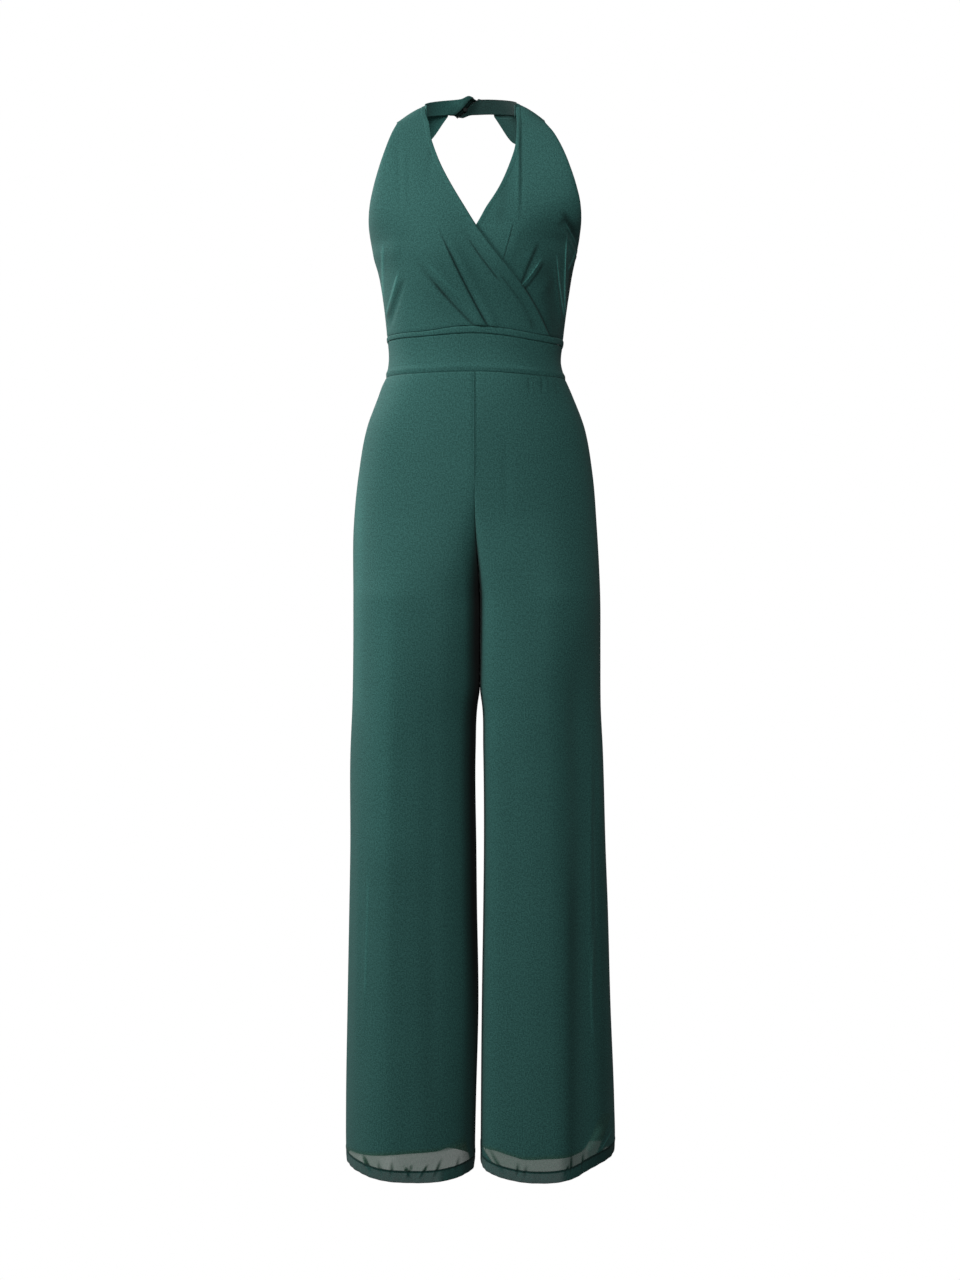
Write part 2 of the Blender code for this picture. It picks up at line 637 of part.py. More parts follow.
def make_legs(material):
    hip_share = (np.arange(HIP_ROWS) / HIP_ROWS) ** CROWDING
    hip_height = BAND_BOTTOM + hip_share[:, None] * (CROTCH - BAND_BOTTOM)
    leg_share = np.linspace(0.0, 1.0, LEG_ROWS)[:, None]
    along = np.linspace(0.0, 1.0, LEG_COLUMNS)
    for side, word in ((-1, "right"), (1, "left")):
        for face, place in ((-1, "front"), (1, "back")):
            columns = along[::-1] if side == face else along
            foot = hem_height(side, leg_angle(side, face, columns)) + HEM_HEIGHT
            leg_height = CROTCH + leg_share * (foot - CROTCH)
            hip = np.broadcast_to(hip_height, (HIP_ROWS, LEG_COLUMNS))
            grid = trouser_grid(side, face, columns, np.concatenate([hip, leg_height]))
            cloth_wall(f"leg_{place}_{word}", grid, CLOTH, material, seams="fltb")


def leg_ring(side, per_face, height_of, inset_of):
    """Closed grid round one leg, back first, with per_face columns on each face."""
    share = np.arange(per_face) / per_face
    grids = []
    for face in (1, -1):
        along = 1 - share if side == face else share
        angle = leg_angle(side, face, along)
        height = height_of(angle)
        grids.append(trouser_grid(side, face, along, height, inset_of(angle, height)))
    return np.concatenate(grids, axis=1)


def make_hem(side, name, material):
    """Doubled, turned-up edge with small irregular puckers under its stitching."""
    share = np.array(PUCKER_GROWTH)[:, None]

    def height_of(angle):
        return hem_height(side, angle) + (HEM_HEIGHT - HEM_CLEARANCE) * (1 - share)

    def inset_of(angle, height):
        wave = np.sin(PUCKER_COUNT * angle)
        wave = wave + SLOW_PUCKER * np.sin((PUCKER_COUNT // 2) * angle + side)
        return PUCKER_DEPTH * wave * share

    grid = leg_ring(side, HEM_COLUMNS, height_of, inset_of)
    cloth_wall(name, grid, DOUBLE_CLOTH, material, seams="t", closed=True)


def lining_edge(side, angle):
    """Height of the lining's lower edge, which rises at the front and swings up at one place."""
    front = np.clip(-np.sin(angle), 0.0, 1.0)
    turn = (angle - LINING_SWING_ANGLE + math.pi) % (2 * math.pi) - math.pi
    swing = LINING_SWING[side] * bell(turn, LINING_SWING_SPREAD)
    return LINING_EDGE + LINING_FRONT_RISE * front + swing


def make_lining(side, name, material):
    share = np.linspace(0.0, 1.0, LINING_ROWS)[:, None]

    def height_of(angle):
        return LINING_TOP + share * (lining_edge(side, angle) - LINING_TOP)

    def inset_of(angle, height):
        slack = LINING_SLACK * smoothstep(LINING_TOP, LINING_TOP - LINING_SLACK_LENGTH, height)
        return CLOTH + LINING_CLEARANCE + slack

    grid = leg_ring(side, LEG_COLUMNS - 1, height_of, inset_of)
    cloth_wall(name, grid, LINING_CLOTH, material, closed=True)


def build():
    clear_scene()
    chiffon = make_material("crepe chiffon", GREEN, 0.8)
    band_cloth = make_material("doubled crepe chiffon", GREEN, 0.8)
    lining_cloth = make_material("lining jersey", LINING_GREEN, 0.7)
    button_plastic = make_material("button polyester", BUTTON_GREEN, 0.35)
    make_bodice(chiffon)
    make_waist(band_cloth)
    make_right_strap(band_cloth)
    make_left_strap(band_cloth)
    make_button(button_plastic)
    make_legs(chiffon)
    for side, word in ((-1, "right"), (1, "left")):
        make_hem(side, f"hem_{word}", band_cloth)
        make_lining(side, f"lining_{word}", lining_cloth)


build()
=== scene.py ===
import math
from collections import namedtuple
from functools import partial

import bmesh
import bpy
import numpy as np
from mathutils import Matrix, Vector


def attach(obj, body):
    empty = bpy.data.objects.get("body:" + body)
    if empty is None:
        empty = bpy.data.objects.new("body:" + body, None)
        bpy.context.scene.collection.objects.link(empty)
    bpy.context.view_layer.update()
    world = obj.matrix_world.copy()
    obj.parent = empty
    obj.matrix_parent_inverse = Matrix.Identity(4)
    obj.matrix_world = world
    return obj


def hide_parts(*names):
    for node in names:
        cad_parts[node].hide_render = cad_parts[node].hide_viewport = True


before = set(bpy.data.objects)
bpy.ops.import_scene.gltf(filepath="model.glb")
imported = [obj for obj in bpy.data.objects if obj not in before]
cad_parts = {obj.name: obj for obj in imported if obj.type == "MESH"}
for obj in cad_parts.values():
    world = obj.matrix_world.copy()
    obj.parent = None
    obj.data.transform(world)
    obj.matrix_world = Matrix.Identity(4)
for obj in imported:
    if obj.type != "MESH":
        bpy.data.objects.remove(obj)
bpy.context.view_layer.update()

print("frame:", len(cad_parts), "solids")

# Metres, +Z up. The front faces -Y and the wearer's left is at +X. A side of -1 is the wearer's
# right and 1 the left; a face of -1 is the front and 1 the back. Grids of points run down the
# cloth in rows and anticlockwise, seen from above, in columns. The names before a table are
# those of its columns.
sides = ((-1, "right"), (1, "left"))


def smoothStep(low, high, value):
    share = np.clip((value - low) / (high - low), 0.0, 1.0)
    return share * share * (3.0 - 2.0 * share)


def bell(distance, width):
    return np.exp(-((distance / width) ** 2))


def signedPower(value, exponent):
    return np.sign(value) * np.abs(value) ** exponent


def shares(count):
    return np.linspace(0.0, 1.0, count + 1)


def unit(vectors):
    return vectors / np.linalg.norm(vectors, axis=-1, keepdims=True)


def smoothCurve(stations, values, at):
    slopes = np.gradient(values, stations, axis=0)
    at = np.clip(at, stations[0], stations[-1])
    index = np.clip(np.searchsorted(stations, at) - 1, 0, len(stations) - 2)
    span = stations[index + 1] - stations[index]
    share = (at - stations[index]) / span
    extra = (1,) * (values.ndim - 1)
    share = share.reshape(share.shape + extra)
    span = span.reshape(span.shape + extra)
    ease = share * share * (3.0 - 2.0 * share)
    leave = share * (1.0 - share) ** 2
    arrive = share * share * (share - 1.0)
    between = (1.0 - ease) * values[index] + ease * values[index + 1]
    return between + span * (leave * slopes[index] + arrive * slopes[index + 1])


def table(columns, rows):
    kind = namedtuple("Row", columns)
    return [kind(*row) for row in rows]


# Reads every column of a table, as a smooth curve, at these places on its first column.
def readTable(rows, at):
    values = np.array(sorted(rows))
    values = smoothCurve(values[:, 0], values, np.asarray(at, dtype=float))
    return type(rows[0])(*np.moveaxis(values, -1, 0))


def loft(rows, count):
    rows = np.array(rows)
    steps = np.linalg.norm(np.diff(rows, axis=0), axis=2).mean(axis=1)
    stations = np.concatenate([[0.0], np.cumsum(steps)])
    return smoothCurve(stations, rows, np.linspace(0.0, stations[-1], count))


def outward(grid, closed=False):
    down = np.gradient(grid, axis=0, edge_order=2)
    if closed:  # the last column lies on the first
        along = np.empty_like(grid)
        along[:, 1:-1] = grid[:, 2:] - grid[:, :-2]
        along[:, 0] = along[:, -1] = grid[:, 1] - grid[:, -2]
    else:
        along = np.gradient(grid, axis=1, edge_order=2)
    return unit(np.cross(down, along))


def pushedOut(grid, push, closed=False):
    return grid + outward(grid, closed) * push[..., None]


def lengthsAlong(grid, axis):
    steps = np.linalg.norm(np.diff(grid, axis=axis), axis=2)
    start = np.zeros_like(np.take(steps, [0], axis=axis))
    return np.concatenate([start, np.cumsum(steps, axis=axis)], axis=axis)


# Share of the way along a line in the front view, and distance to its right.
def lineShares(line, grid):
    runX, runZ = line.x2 - line.x1, line.z2 - line.z1
    x, z = grid[..., 0] - line.x1, grid[..., 2] - line.z1
    length = math.hypot(runX, runZ)
    return (x * runX + z * runZ) / length**2, (x * runZ - z * runX) / length


# A crease is a soft ridge (depth above 0) or trough (below 0) on a line in the front or back
# view. Bow curves its middle; steep narrows or widens its flank on the wearer's left of a line
# that runs down. It swells and fades over these shares of its length.
Crease = namedtuple("Crease", "x1 z1 x2 z2 width depth steep bow", defaults=(1.0, 0.0))
creaseEnds = ((-0.1, 0.3), (1.1, 0.75))


def creaseRelief(creases, grid):
    relief = np.zeros(grid.shape[:2])
    for row in creases:
        crease = Crease(*row)
        along, across = lineShares(crease, grid)
        across = across - crease.bow * 4 * along * (1 - along)
        fade = smoothStep(*creaseEnds[0], along) * smoothStep(*creaseEnds[1], along)
        width = np.where(across > 0, crease.width, crease.width * crease.steep)
        relief += crease.depth * fade * bell(across, width)
    return relief


def linearColour(code, tone=1.0):
    parts = [int(code[i : i + 2], 16) / 255 for i in (1, 3, 5)]
    linear = [c / 12.92 if c < 0.04045 else ((c + 0.055) / 1.055) ** 2.4 for c in parts]
    return [tone * c for c in linear] + [1.0]


def setInputs(node, inputs):
    for key, value in inputs.items() if isinstance(inputs, dict) else enumerate(inputs):
        if isinstance(value, bpy.types.NodeSocket):
            node.id_data.links.new(value, node.inputs[key])
        else:
            node.inputs[key].default_value = value


def addNode(tree, kind, inputs=(), **settings):
    node = tree.nodes.new("ShaderNode" + kind)
    for key, value in settings.items():
        setattr(node, key, value)
    setInputs(node, inputs)
    return node.outputs


# The new material, what adds a node to it, and its shader.
def newMaterial(name):
    material = bpy.data.materials.new(name)
    material.use_nodes = True
    tree = material.node_tree
    return material, partial(addNode, tree), tree.nodes["Principled BSDF"]


# A fold line is too fine for the grid, so the cloth's colour and bump draw it: painted shade where
# shade is above 0, a painted highlight where it is below. It fades out at both ends.
FoldLine = namedtuple("FoldLine", "x1 z1 x2 z2 width shade bow", defaults=(0.0,))
foldLineEnds = ((0.0, 0.3), (1.0, 0.85))


def foldMask(add, position, line):
    run = Vector((line.x2 - line.x1, 0.0, line.z2 - line.z1))
    square = Vector((run.z, 0.0, -run.x)).normalized()
    start = (line.x1, 0.0, line.z1)
    offset = add("VectorMath", (position, start), operation="SUBTRACT")[0]
    along, aside = [
        add("VectorMath", (offset, direction), operation="DOT_PRODUCT")["Value"]
        for direction in (run / run.length_squared, square)
    ]
    rest = add("Math", (1.0, along), operation="SUBTRACT")[0]
    curve = add("Math", (along, rest), operation="MULTIPLY")[0]
    aside = add("Math", (curve, -4 * line.bow, aside), operation="MULTIPLY_ADD")[0]
    aside = add("Math", (aside, line.width), operation="DIVIDE")[0]
    minus = add("Math", (aside, -1.0), operation="MULTIPLY")[0]
    power = add("Math", (aside, minus), operation="MULTIPLY")[0]
    mask = add("Math", (power,), operation="EXPONENT")[0]
    for low, high in foldLineEnds:
        stretch = {"Value": along, "From Min": low, "From Max": high}
        fade = add("MapRange", stretch, interpolation_type="SMOOTHSTEP")[0]
        mask = add("Math", (mask, fade), operation="MULTIPLY")[0]
    return mask


crepe = {
    "dark": "#234b47",
    "light": "#376661",
    "crinkle": 0.0017,  # real crepe grain is near 0.6 mm, drawn coarser so that it shows
    "grainRange": (0.40, 0.60),
    "slub": (0.0018, 0.0045),  # faint threads, across and down the cloth
    "slubShare": 0.22,
    "slubCover": 0.10,
    "cloud": 0.055,
    "cloudShare": 0.04,
    "bump": 0.00040,
    "tuckDepth": 0.0009,
    "linesFrom": (-0.058, -0.072),  # the fold lines' painted shade and highlights fade out before the side seam
    "roughness": (0.76, 0.90),
    "sheen": 0.03,
    "sheenRoughness": 0.5,
    "specular": 0.15,
    "sheerTint": (1.7, 1.2, 0.95),  # the thin layer looks warmer where light comes through it
}


# Polyester crepe chiffon, plain woven from hard-twisted yarn: matt, finely grained, and it lets
# a little of what is behind it through where no lining backs it.
def clothMaterial(name, tone=1.0, opacity=1.0, lined=False, stitch=None, lines=()):
    material, add, shader = newMaterial(name)
    uv = add("UVMap", uv_map="cloth")["UV"]
    crinkle = {"Vector": uv, "Scale": 1 / crepe["crinkle"], "Detail": 2.0, "Roughness": 0.6}
    grain = add("TexNoise", crinkle)["Fac"]
    across, down = crepe["slub"]
    place = add("Mapping", {"Vector": uv, "Scale": (1 / across, 1 / down, 1.0)})[0]
    thread = add("TexNoise", {"Vector": place, "Scale": 1.0, "Detail": 1.0})["Fac"]
    drift = {"Vector": uv, "Scale": 1 / crepe["cloud"], "Detail": 2.0}
    cloud = add("TexNoise", drift)["Fac"]
    weave = add("Mix", {0: crepe["slubShare"], 2: grain, 3: thread})[0]
    shade = add("Mix", {0: crepe["cloudShare"], 2: weave, 3: cloud})[0]
    low, high = crepe["grainRange"]
    spread = add("MapRange", {"Value": shade, "From Min": low, "From Max": high})[0]
    dark, light = [linearColour(crepe[word], tone) for word in ("dark", "light")]
    colour = add("Mix", {0: spread, 6: dark, 7: light}, data_type="RGBA")[2]
    # Painted shade (above 0) and painted highlight (below 0), from the piece's marks and fold
    # lines: it scales the colour, adds to a thin layer's cover and shapes a slight bump.
    paintedShading = add("Attribute", attribute_name="paintedShading")["Fac"]
    if opacity < 1.0:
        least = opacity - crepe["slubCover"] / 2
        covering = (thread, crepe["slubCover"], least)
        cover = add("Math", covering, operation="MULTIPLY_ADD")[0]
        cover = add("Math", (cover, paintedShading), operation="ADD")[0]
    if stitch:
        fromTop = add("SeparateXYZ", (uv,))[1]
        band = {"Value": fromTop, "From Min": stitch["to"], "From Max": stitch["from"]}
        row = add("MapRange", band)[0]
        sewn = add("Math", (row, stitch["shade"]), operation="MULTIPLY")[0]
        sewn = {0: sewn, 6: colour, 7: linearColour(stitch["colour"])}
        colour = add("Mix", sewn, data_type="RGBA")[2]
        cover = add("Math", (cover, row), operation="ADD")[0]
    if lined:
        backed = add("Attribute", attribute_name="backed")["Fac"]
        warm = add("VectorMath", (colour, crepe["sheerTint"]), operation="MULTIPLY")[0]
        colour = add("Mix", {0: backed, 6: warm, 7: colour}, data_type="RGBA")[2]
        bare = add("Math", (1.0, backed), operation="SUBTRACT")[0]
        cover = add("Math", (cover, bare, backed), operation="MULTIPLY_ADD")[0]
    if lines:
        position = add("TexCoord")["Object"]
        depth = add("SeparateXYZ", (position,))[1]
        start, full = crepe["linesFrom"]
        reach = {"Value": depth, "From Min": start, "From Max": full}
        facing = add("MapRange", reach, interpolation_type="SMOOTHSTEP")[0]
    # each fold line adds its painted shade or painted highlight
    for row in lines:
        line = FoldLine(*row)
        drawn = (foldMask(add, position, line), facing)
        drawn = add("Math", drawn, operation="MULTIPLY")[0]
        paintedShading = add("Math", (drawn, line.shade, paintedShading), operation="MULTIPLY_ADD")[0]
    left = add("Math", (1.0, paintedShading), operation="SUBTRACT")[0]
    grained = add("Bump", {"Height": weave, "Distance": crepe["bump"], "Strength": 1.0})
    tucked = {"Height": left, "Distance": crepe["tuckDepth"], "Normal": grained[0]}
    low, high = crepe["roughness"]
    rough = add("MapRange", {"Value": grain, "To Min": low, "To Max": high})[0]
    shaded = add("VectorMath", {0: colour, "Scale": left}, operation="SCALE")[0]
    finish = {
        "Base Color": shaded,
        "Normal": add("Bump", tucked)[0],
        "Roughness": rough,
        "Sheen Weight": crepe["sheen"],
        "Sheen Roughness": crepe["sheenRoughness"],
        "Specular IOR Level": crepe["specular"],
    }
    if opacity < 1.0:
        finish["Alpha"] = add("Math", (cover, 1.0), operation="MINIMUM")[0]
    setInputs(shader, finish)
    return material


# Lays one piece of cloth on a grid of points and gives it its wall.
def layCloth(name, grid, material, thickness, closed=False, marks=None, inside=None):
    node = name.replace(".", "_")
    rows, columns = grid.shape[0] - 1, grid.shape[1] - 1
    sheet = bmesh.new()
    bmesh.ops.create_grid(sheet, x_segments=columns, y_segments=rows, size=0.5)
    mesh = bpy.data.meshes.new(name)
    sheet.to_mesh(mesh)
    sheet.free()
    flat = np.empty(len(mesh.vertices) * 3)
    mesh.vertices.foreach_get("co", flat)
    flat = flat.reshape(-1, 3)
    column = np.rint((flat[:, 0] + 0.5) * columns).astype(int)
    row = np.rint((0.5 - flat[:, 1]) * rows).astype(int)
    mesh.vertices.foreach_set("co", grid[row, column].ravel())
    corners = np.empty(len(mesh.loops), dtype=int)
    mesh.loops.foreach_get("vertex_index", corners)
    across = lengthsAlong(grid, 1)
    across = across - across[:, [columns // 2]]
    down = lengthsAlong(grid, 0)
    places = np.stack([across, down], axis=-1)[row[corners], column[corners]]
    mesh.uv_layers.new(name="cloth").data.foreach_set("uv", places.ravel())
    for word, values in (marks or {}).items():
        mark = mesh.attributes.new(word, "FLOAT", "POINT")
        mark.data.foreach_set("value", values[row, column])
    if closed:
        ring = bmesh.new()
        ring.from_mesh(mesh)
        bmesh.ops.remove_doubles(ring, verts=ring.verts, dist=1e-6)
        ring.to_mesh(mesh)
        ring.free()
    mesh.shade_smooth()
    mesh.materials.append(material)
    piece = bpy.data.objects.new(name, mesh)
    bpy.context.scene.collection.objects.link(piece)
    wall = piece.modifiers.new("wall", "SOLIDIFY")
    wall.thickness = thickness
    wall.offset = -1.0
    if inside:
        mesh.materials.append(inside)
        wall.material_offset = 1
    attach(piece, "root")
    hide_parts(node)


# Distances over the cloth from its first and last column, top and bottom.
def edgeDistances(grid):
    across, down = lengthsAlong(grid, 1), lengthsAlong(grid, 0)
    return {"f": across, "l": across[:, [-1]] - across, "t": down, "b": down[[-1]] - down}


turnedEdge = {"width": 0.006, "lift": 0.0004, "softness": 0.001, "stitchWidth": 0.0012}


def rolledEdge(grid, edges):
    relief = np.zeros(grid.shape[:2])
    width, soft = turnedEdge["width"], turnedEdge["softness"]
    for edge in edges:
        distance = edgeDistances(grid)[edge]
        relief += turnedEdge["lift"] * smoothStep(width + soft, width - soft, distance)
        relief -= 0.5 * turnedEdge["lift"] * bell(distance - width, turnedEdge["stitchWidth"])
    return relief


def seamGroove(grid, edges, width=0.0022, depth=0.0006):
    relief = np.zeros(grid.shape[:2])
    for edge in edges:
        relief -= depth * bell(edgeDistances(grid)[edge], width)
    return relief


level = {"underarm": -0.1966, "stripTop": -0.3070, "bandTop": -0.3155, "bandBottom": -0.3640}
sideSeamY = -0.0550
clothThickness = 0.0006
doubleThickness = 0.0011

# The body of the garment, front and back.
frontForm = table("height centre halfWidth rightY leftY frontY power", [
    (-0.036, -0.006, 0.097, -0.079, -0.079, -0.09, 2.2),
    (-0.0463, -0.0048, 0.1028, -0.088, -0.09, -0.098, 2.2),
    (-0.0747, -0.0029, 0.115, -0.101, -0.108, -0.115, 2.2),
    (-0.1015, -0.0024, 0.1238, -0.108, -0.122, -0.131, 2.2),
    (-0.1267, -0.0022, 0.131, -0.106, -0.129, -0.143, 2.3),
    (-0.1508, -0.0021, 0.1362, -0.095, -0.126, -0.151, 2.4),
    (-0.1738, -0.002, 0.1374, -0.077, -0.102, -0.155, 2.4),
    (-0.1966, -0.0015, 0.1342, -0.055, -0.055, -0.156, 2.4),
    (-0.2228, -0.001, 0.1282, -0.055, -0.055, -0.154, 2.4),
    (-0.249, -0.0007, 0.1232, -0.055, -0.055, -0.15, 2.4),
    (-0.2752, -0.0009, 0.119, -0.055, -0.055, -0.145, 2.4),
    (-0.307, -0.0013, 0.1151, -0.055, -0.055, -0.141, 2.4),
    (-0.34, -0.0016, 0.1128, -0.055, -0.055, -0.14, 2.4),
    (-0.364, -0.0004, 0.1173, -0.055, -0.055, -0.143, 2.4),
])
backForm = table("height backY", [
    (-0.1966, 0.047),
    (-0.25, 0.039),
    (-0.307, 0.03),
    (-0.34, 0.029),
    (-0.364, 0.033),
])


# Points of the body's front and back at these heights and angles.
def bodyPoints(height, angle):
    height, angle = np.broadcast_arrays(height, angle)
    form = readTable(frontForm, height)
    sideY = np.minimum(np.where(np.cos(angle) < 0, form.rightY, form.leftY), sideSeamY)
    farY = np.where(np.sin(angle) < 0, form.frontY, readTable(backForm, height).backY)
    x = form.centre + form.halfWidth * signedPower(np.cos(angle), 2 / form.power)
    y = sideY + np.abs(np.sin(angle)) ** (2 / form.power) * (farY - sideY)
    return np.stack([x, y, height], axis=-1)


# The waist seams sag a little towards both sides, more so on the wearer's left. Each level has its
# sag at the right, at the left and all round; reach says over which x it grows.
waistSag = table("height right left whole", [
    (-0.235, 0.0, 0.0, 0.0),
    (-0.307, 0.006, 0.01, 0.0),
    (-0.3155, 0.0032, 0.0095, 0.0006),
    (-0.364, 0.0008, 0.0036, 0.0012),
    (-0.43, 0.0, 0.0, 0.0),
])
sagReach = {"right": (-0.010, -0.075), "left": (0.0, 0.105)}


def sagged(grid):
    x, z = grid[..., 0], grid[..., 2]
    heights, right, left, whole = np.array(sorted(waistSag)).T
    drop = np.interp(z, heights, right) * smoothStep(*sagReach["right"], x)
    drop = drop + np.interp(z, heights, left) * smoothStep(*sagReach["left"], x)
    lowered = grid.copy()
    lowered[..., 2] -= drop + np.interp(z, heights, whole)
    return lowered


bodice = {
    "rows": 270,
    "columns": 150,
    "cupFromCentre": 0.062,
    "cupHeight": -0.208,
    "cupRadius": 0.054,
    "cupDepth": 0.009,
    "lap": 0.0023,
    "lapStart": (-0.155, -0.178),
    "lapReach": 0.6,
    "neckCentre": -0.0070,
    "armholeSections": 12,
    "sideSections": 9,
    "backDip": 0.022,
    "backRows": 60,
    "backColumns": 70,
    "pleatShare": 0.55,
    "pleatSwell": (-0.15, 0.45),
    "pleatFade": (1.25, 0.95),
    "lipSpacing": 1.2,
    "secondLip": 0.7,
    "creasesFrom": (-0.050, -0.070),
    # the inner faces: painted light on the right front's, painted shade on the left front's
    "insideLightAndShade": {-1: 1.5, 1: 0.6},
}
neckline = table("height rightX leftX", [
    (-0.0106, -0.0665, 0.0531),
    (-0.0417, -0.0607, 0.0525),
    (-0.0604, -0.0578, 0.0516),
    (-0.074, -0.0538, 0.0497),
    (-0.0985, -0.0451, 0.0424),
    (-0.118, -0.036, 0.035),
    (-0.1362, -0.0264, 0.0262),
    (-0.158, -0.0138, 0.0125),
    (-0.1806, -0.0002, -0.0002),
    (-0.2213, 0.03, -0.031),
    (-0.2489, 0.0545, -0.055),
    (-0.2867, 0.083, -0.083),
    (-0.307, 0.095, -0.095),
])
# sections of the shoulder panel, from the nape to the front
shoulder = table("innerX innerY innerZ outerX outerY outerZ crownY crownZ tilt", [
    (0.0302, -0.003, -0.007, 0.0308, -0.0024, -0.011, 0.0, 0.0, 0.0),
    (0.0418, -0.0108, -0.0085, 0.057, -0.009, -0.047, 0.0015, 0.0, -0.0008),
    (0.053, -0.025, -0.011, 0.0745, -0.0235, -0.05, 0.003, 0.002, -0.001),
    (0.059, -0.0395, -0.012, 0.088, -0.039, -0.038, 0.001, 0.0034, 0.0008),
    (0.0592, -0.051, -0.0065, 0.0945, -0.053, -0.031, 0.0, 0.0026, 0.0016),
    (0.0592, -0.0625, -0.0083, 0.0956, -0.065, -0.0305, -0.001, 0.0024, 0.0016),
    (0.0588, -0.077, -0.0228, 0.0965, -0.074, -0.0328, -0.002, 0.0018, 0.0008),
])
pleats = table("side x1 z1 x2 z2 width depth", [
    (-1, -0.0433, -0.1977, 0.0151, -0.3057, 0.0062, 0.004),
    (-1, -0.0659, -0.2378, -0.0039, -0.3057, 0.0062, 0.0038),
    (-1, -0.014, -0.1977, 0.064, -0.278, 0.0062, 0.0024),
    (1, 0.048, -0.1831, 0.034, -0.22, 0.006, 0.0018),
    (1, 0.0774, -0.2142, 0.056, -0.254, 0.0065, 0.0034),
    (1, 0.096, -0.232, 0.07, -0.262, 0.007, 0.0026),
])
bodiceCreases = {
    -1: [
        # folds that drop from the shoulder
        (-0.101, -0.06, -0.0965, -0.16, 0.004, -0.0006),
        (-0.087, -0.078, -0.085, -0.156, 0.0035, -0.0005),
        (-0.053, -0.056, -0.0615, -0.125, 0.005, -0.0006),
        # the first pleat's lip
        (-0.048, -0.185, 0.02, -0.317, 0.005, 0.0014, 0.25, 0.0027),
        # the soft second pleat, with a ridge between the two
        (-0.0814, -0.2198, 0.005, -0.315, 0.0045, -0.0012, 1.0, 0.0038),
        (-0.0611, -0.2118, -0.004, -0.2855, 0.004, 0.001, 1.0, 0.0015),
        # the fine third pleat along the wrap
        (-0.0141, -0.1953, 0.0742, -0.3008, 0.005, 0.0008, 0.3, -0.001),
        # a fullness under the armhole, and pulls towards the side seam
        (-0.14, -0.208, -0.095, -0.208, 0.017, 0.002),
        (-0.0915, -0.246, -0.1131, -0.3, 0.0032, -0.0012),
        (-0.099, -0.24, -0.116, -0.29, 0.0026, 0.0012),
    ],
    1: [
        # the neck edge's long roll
        (0.055, -0.035, 0.0535, -0.162, 0.003, 0.0008),
        (0.0592, -0.04, 0.058, -0.165, 0.0022, -0.0006),
        # short folds that run under the wrap
        (0.058, -0.22, 0.048, -0.26, 0.0035, 0.0014),
        (0.08, -0.225, 0.056, -0.26, 0.003, 0.0014),
        # hollow and creases by the armhole
        (0.104, -0.215, 0.106, -0.33, 0.015, -0.0035),
        (0.108, -0.172, 0.128, -0.19, 0.008, -0.003),
        (0.113, -0.185, 0.132, -0.211, 0.002, 0.0016),
        (0.1165, -0.195, 0.1165, -0.285, 0.0018, 0.0012),
        (0.102, -0.225, 0.114, -0.296, 0.0018, 0.0012),
    ],
}
# Fine fold lines on each front, in painted shade and painted highlights.
bodiceLines = {
    -1: [
        # painted shade in the three pleats, and a painted highlight on the second's flank
        (-0.0497, -0.1813, 0.0215, -0.3186, 0.0013, 0.75, 0.0027),
        (-0.0751, -0.2271, -0.0331, -0.2754, 0.0028, 0.17, 0.0019),
        (-0.0636, -0.2398, 0.0037, -0.3122, 0.0017, 0.5, 0.0025),
        (-0.0662, -0.2245, -0.0179, -0.2728, 0.002, -0.18, 0.0015),
        (-0.0255, -0.1762, 0.0304, -0.2512, 0.0041, 0.1, 0.0015),
        (-0.0128, -0.194, 0.033, -0.255, 0.0011, 0.45, 0.0018),
        (0.0279, -0.2398, 0.0571, -0.2766, 0.0014, 0.3),
        (0.0508, -0.2639, 0.0787, -0.3135, 0.0033, 0.2),
        (0.0698, -0.297, 0.0711, -0.311, 0.0014, 0.25),
        # painted highlights and painted shade on pulls towards the side seam
        (-0.1204, -0.1928, -0.1217, -0.2682, 0.0019, -0.6),
        (-0.098, -0.2312, -0.1179, -0.2878, 0.0013, -0.55),
        (-0.0903, -0.2389, -0.1154, -0.2943, 0.0034, 0.24),
        (-0.1097, -0.267, -0.1161, -0.2929, 0.0014, 0.3),
    ],
    1: [
        # painted shade along the neck edge's roll
        (0.0569, -0.0034, 0.0569, -0.1178, 0.0016, 0.13),
        (0.059, -0.0059, 0.0584, -0.1356, 0.0038, 0.12),
        (0.0558, -0.1076, 0.0558, -0.18, 0.0025, 0.12),
        (0.038, -0.1127, 0.0304, -0.1839, 0.0064, 0.14),
        # painted shade and painted highlights on short folds that run under the wrap
        (0.0485, -0.1737, 0.0336, -0.2271, 0.001, 0.42, -0.0008),
        (0.0464, -0.1737, 0.0317, -0.2271, 0.0014, -0.14, -0.0008),
        (0.0825, -0.1966, 0.0565, -0.2576, 0.0022, 0.62, 0.0008),
        (0.0736, -0.2067, 0.052, -0.2474, 0.0041, -0.16),
        (0.0851, -0.2182, 0.0552, -0.2588, 0.0011, -1.1, -0.0023),
        (0.0889, -0.2207, 0.0597, -0.2627, 0.0018, 0.55, -0.0023),
        # painted shade in the hollow under the bust, and painted shade and highlights on the
        # creases by the armhole
        (0.0914, -0.2118, 0.0965, -0.3326, 0.014, 0.3),
        (0.107, -0.1573, 0.1303, -0.1922, 0.0041, 0.46),
        (0.1132, -0.1737, 0.1313, -0.1971, 0.001, -1.2),
        (0.1174, -0.1824, 0.1168, -0.2942, 0.0011, -2.1, 0.0019),
        (0.1028, -0.2074, 0.1158, -0.2929, 0.0011, -1.5, 0.001),
        (0.1321, -0.1977, 0.1191, -0.2303, 0.001, -1.2),
        (0.1243, -0.2043, 0.1182, -0.2851, 0.0019, 0.65),
    ],
}


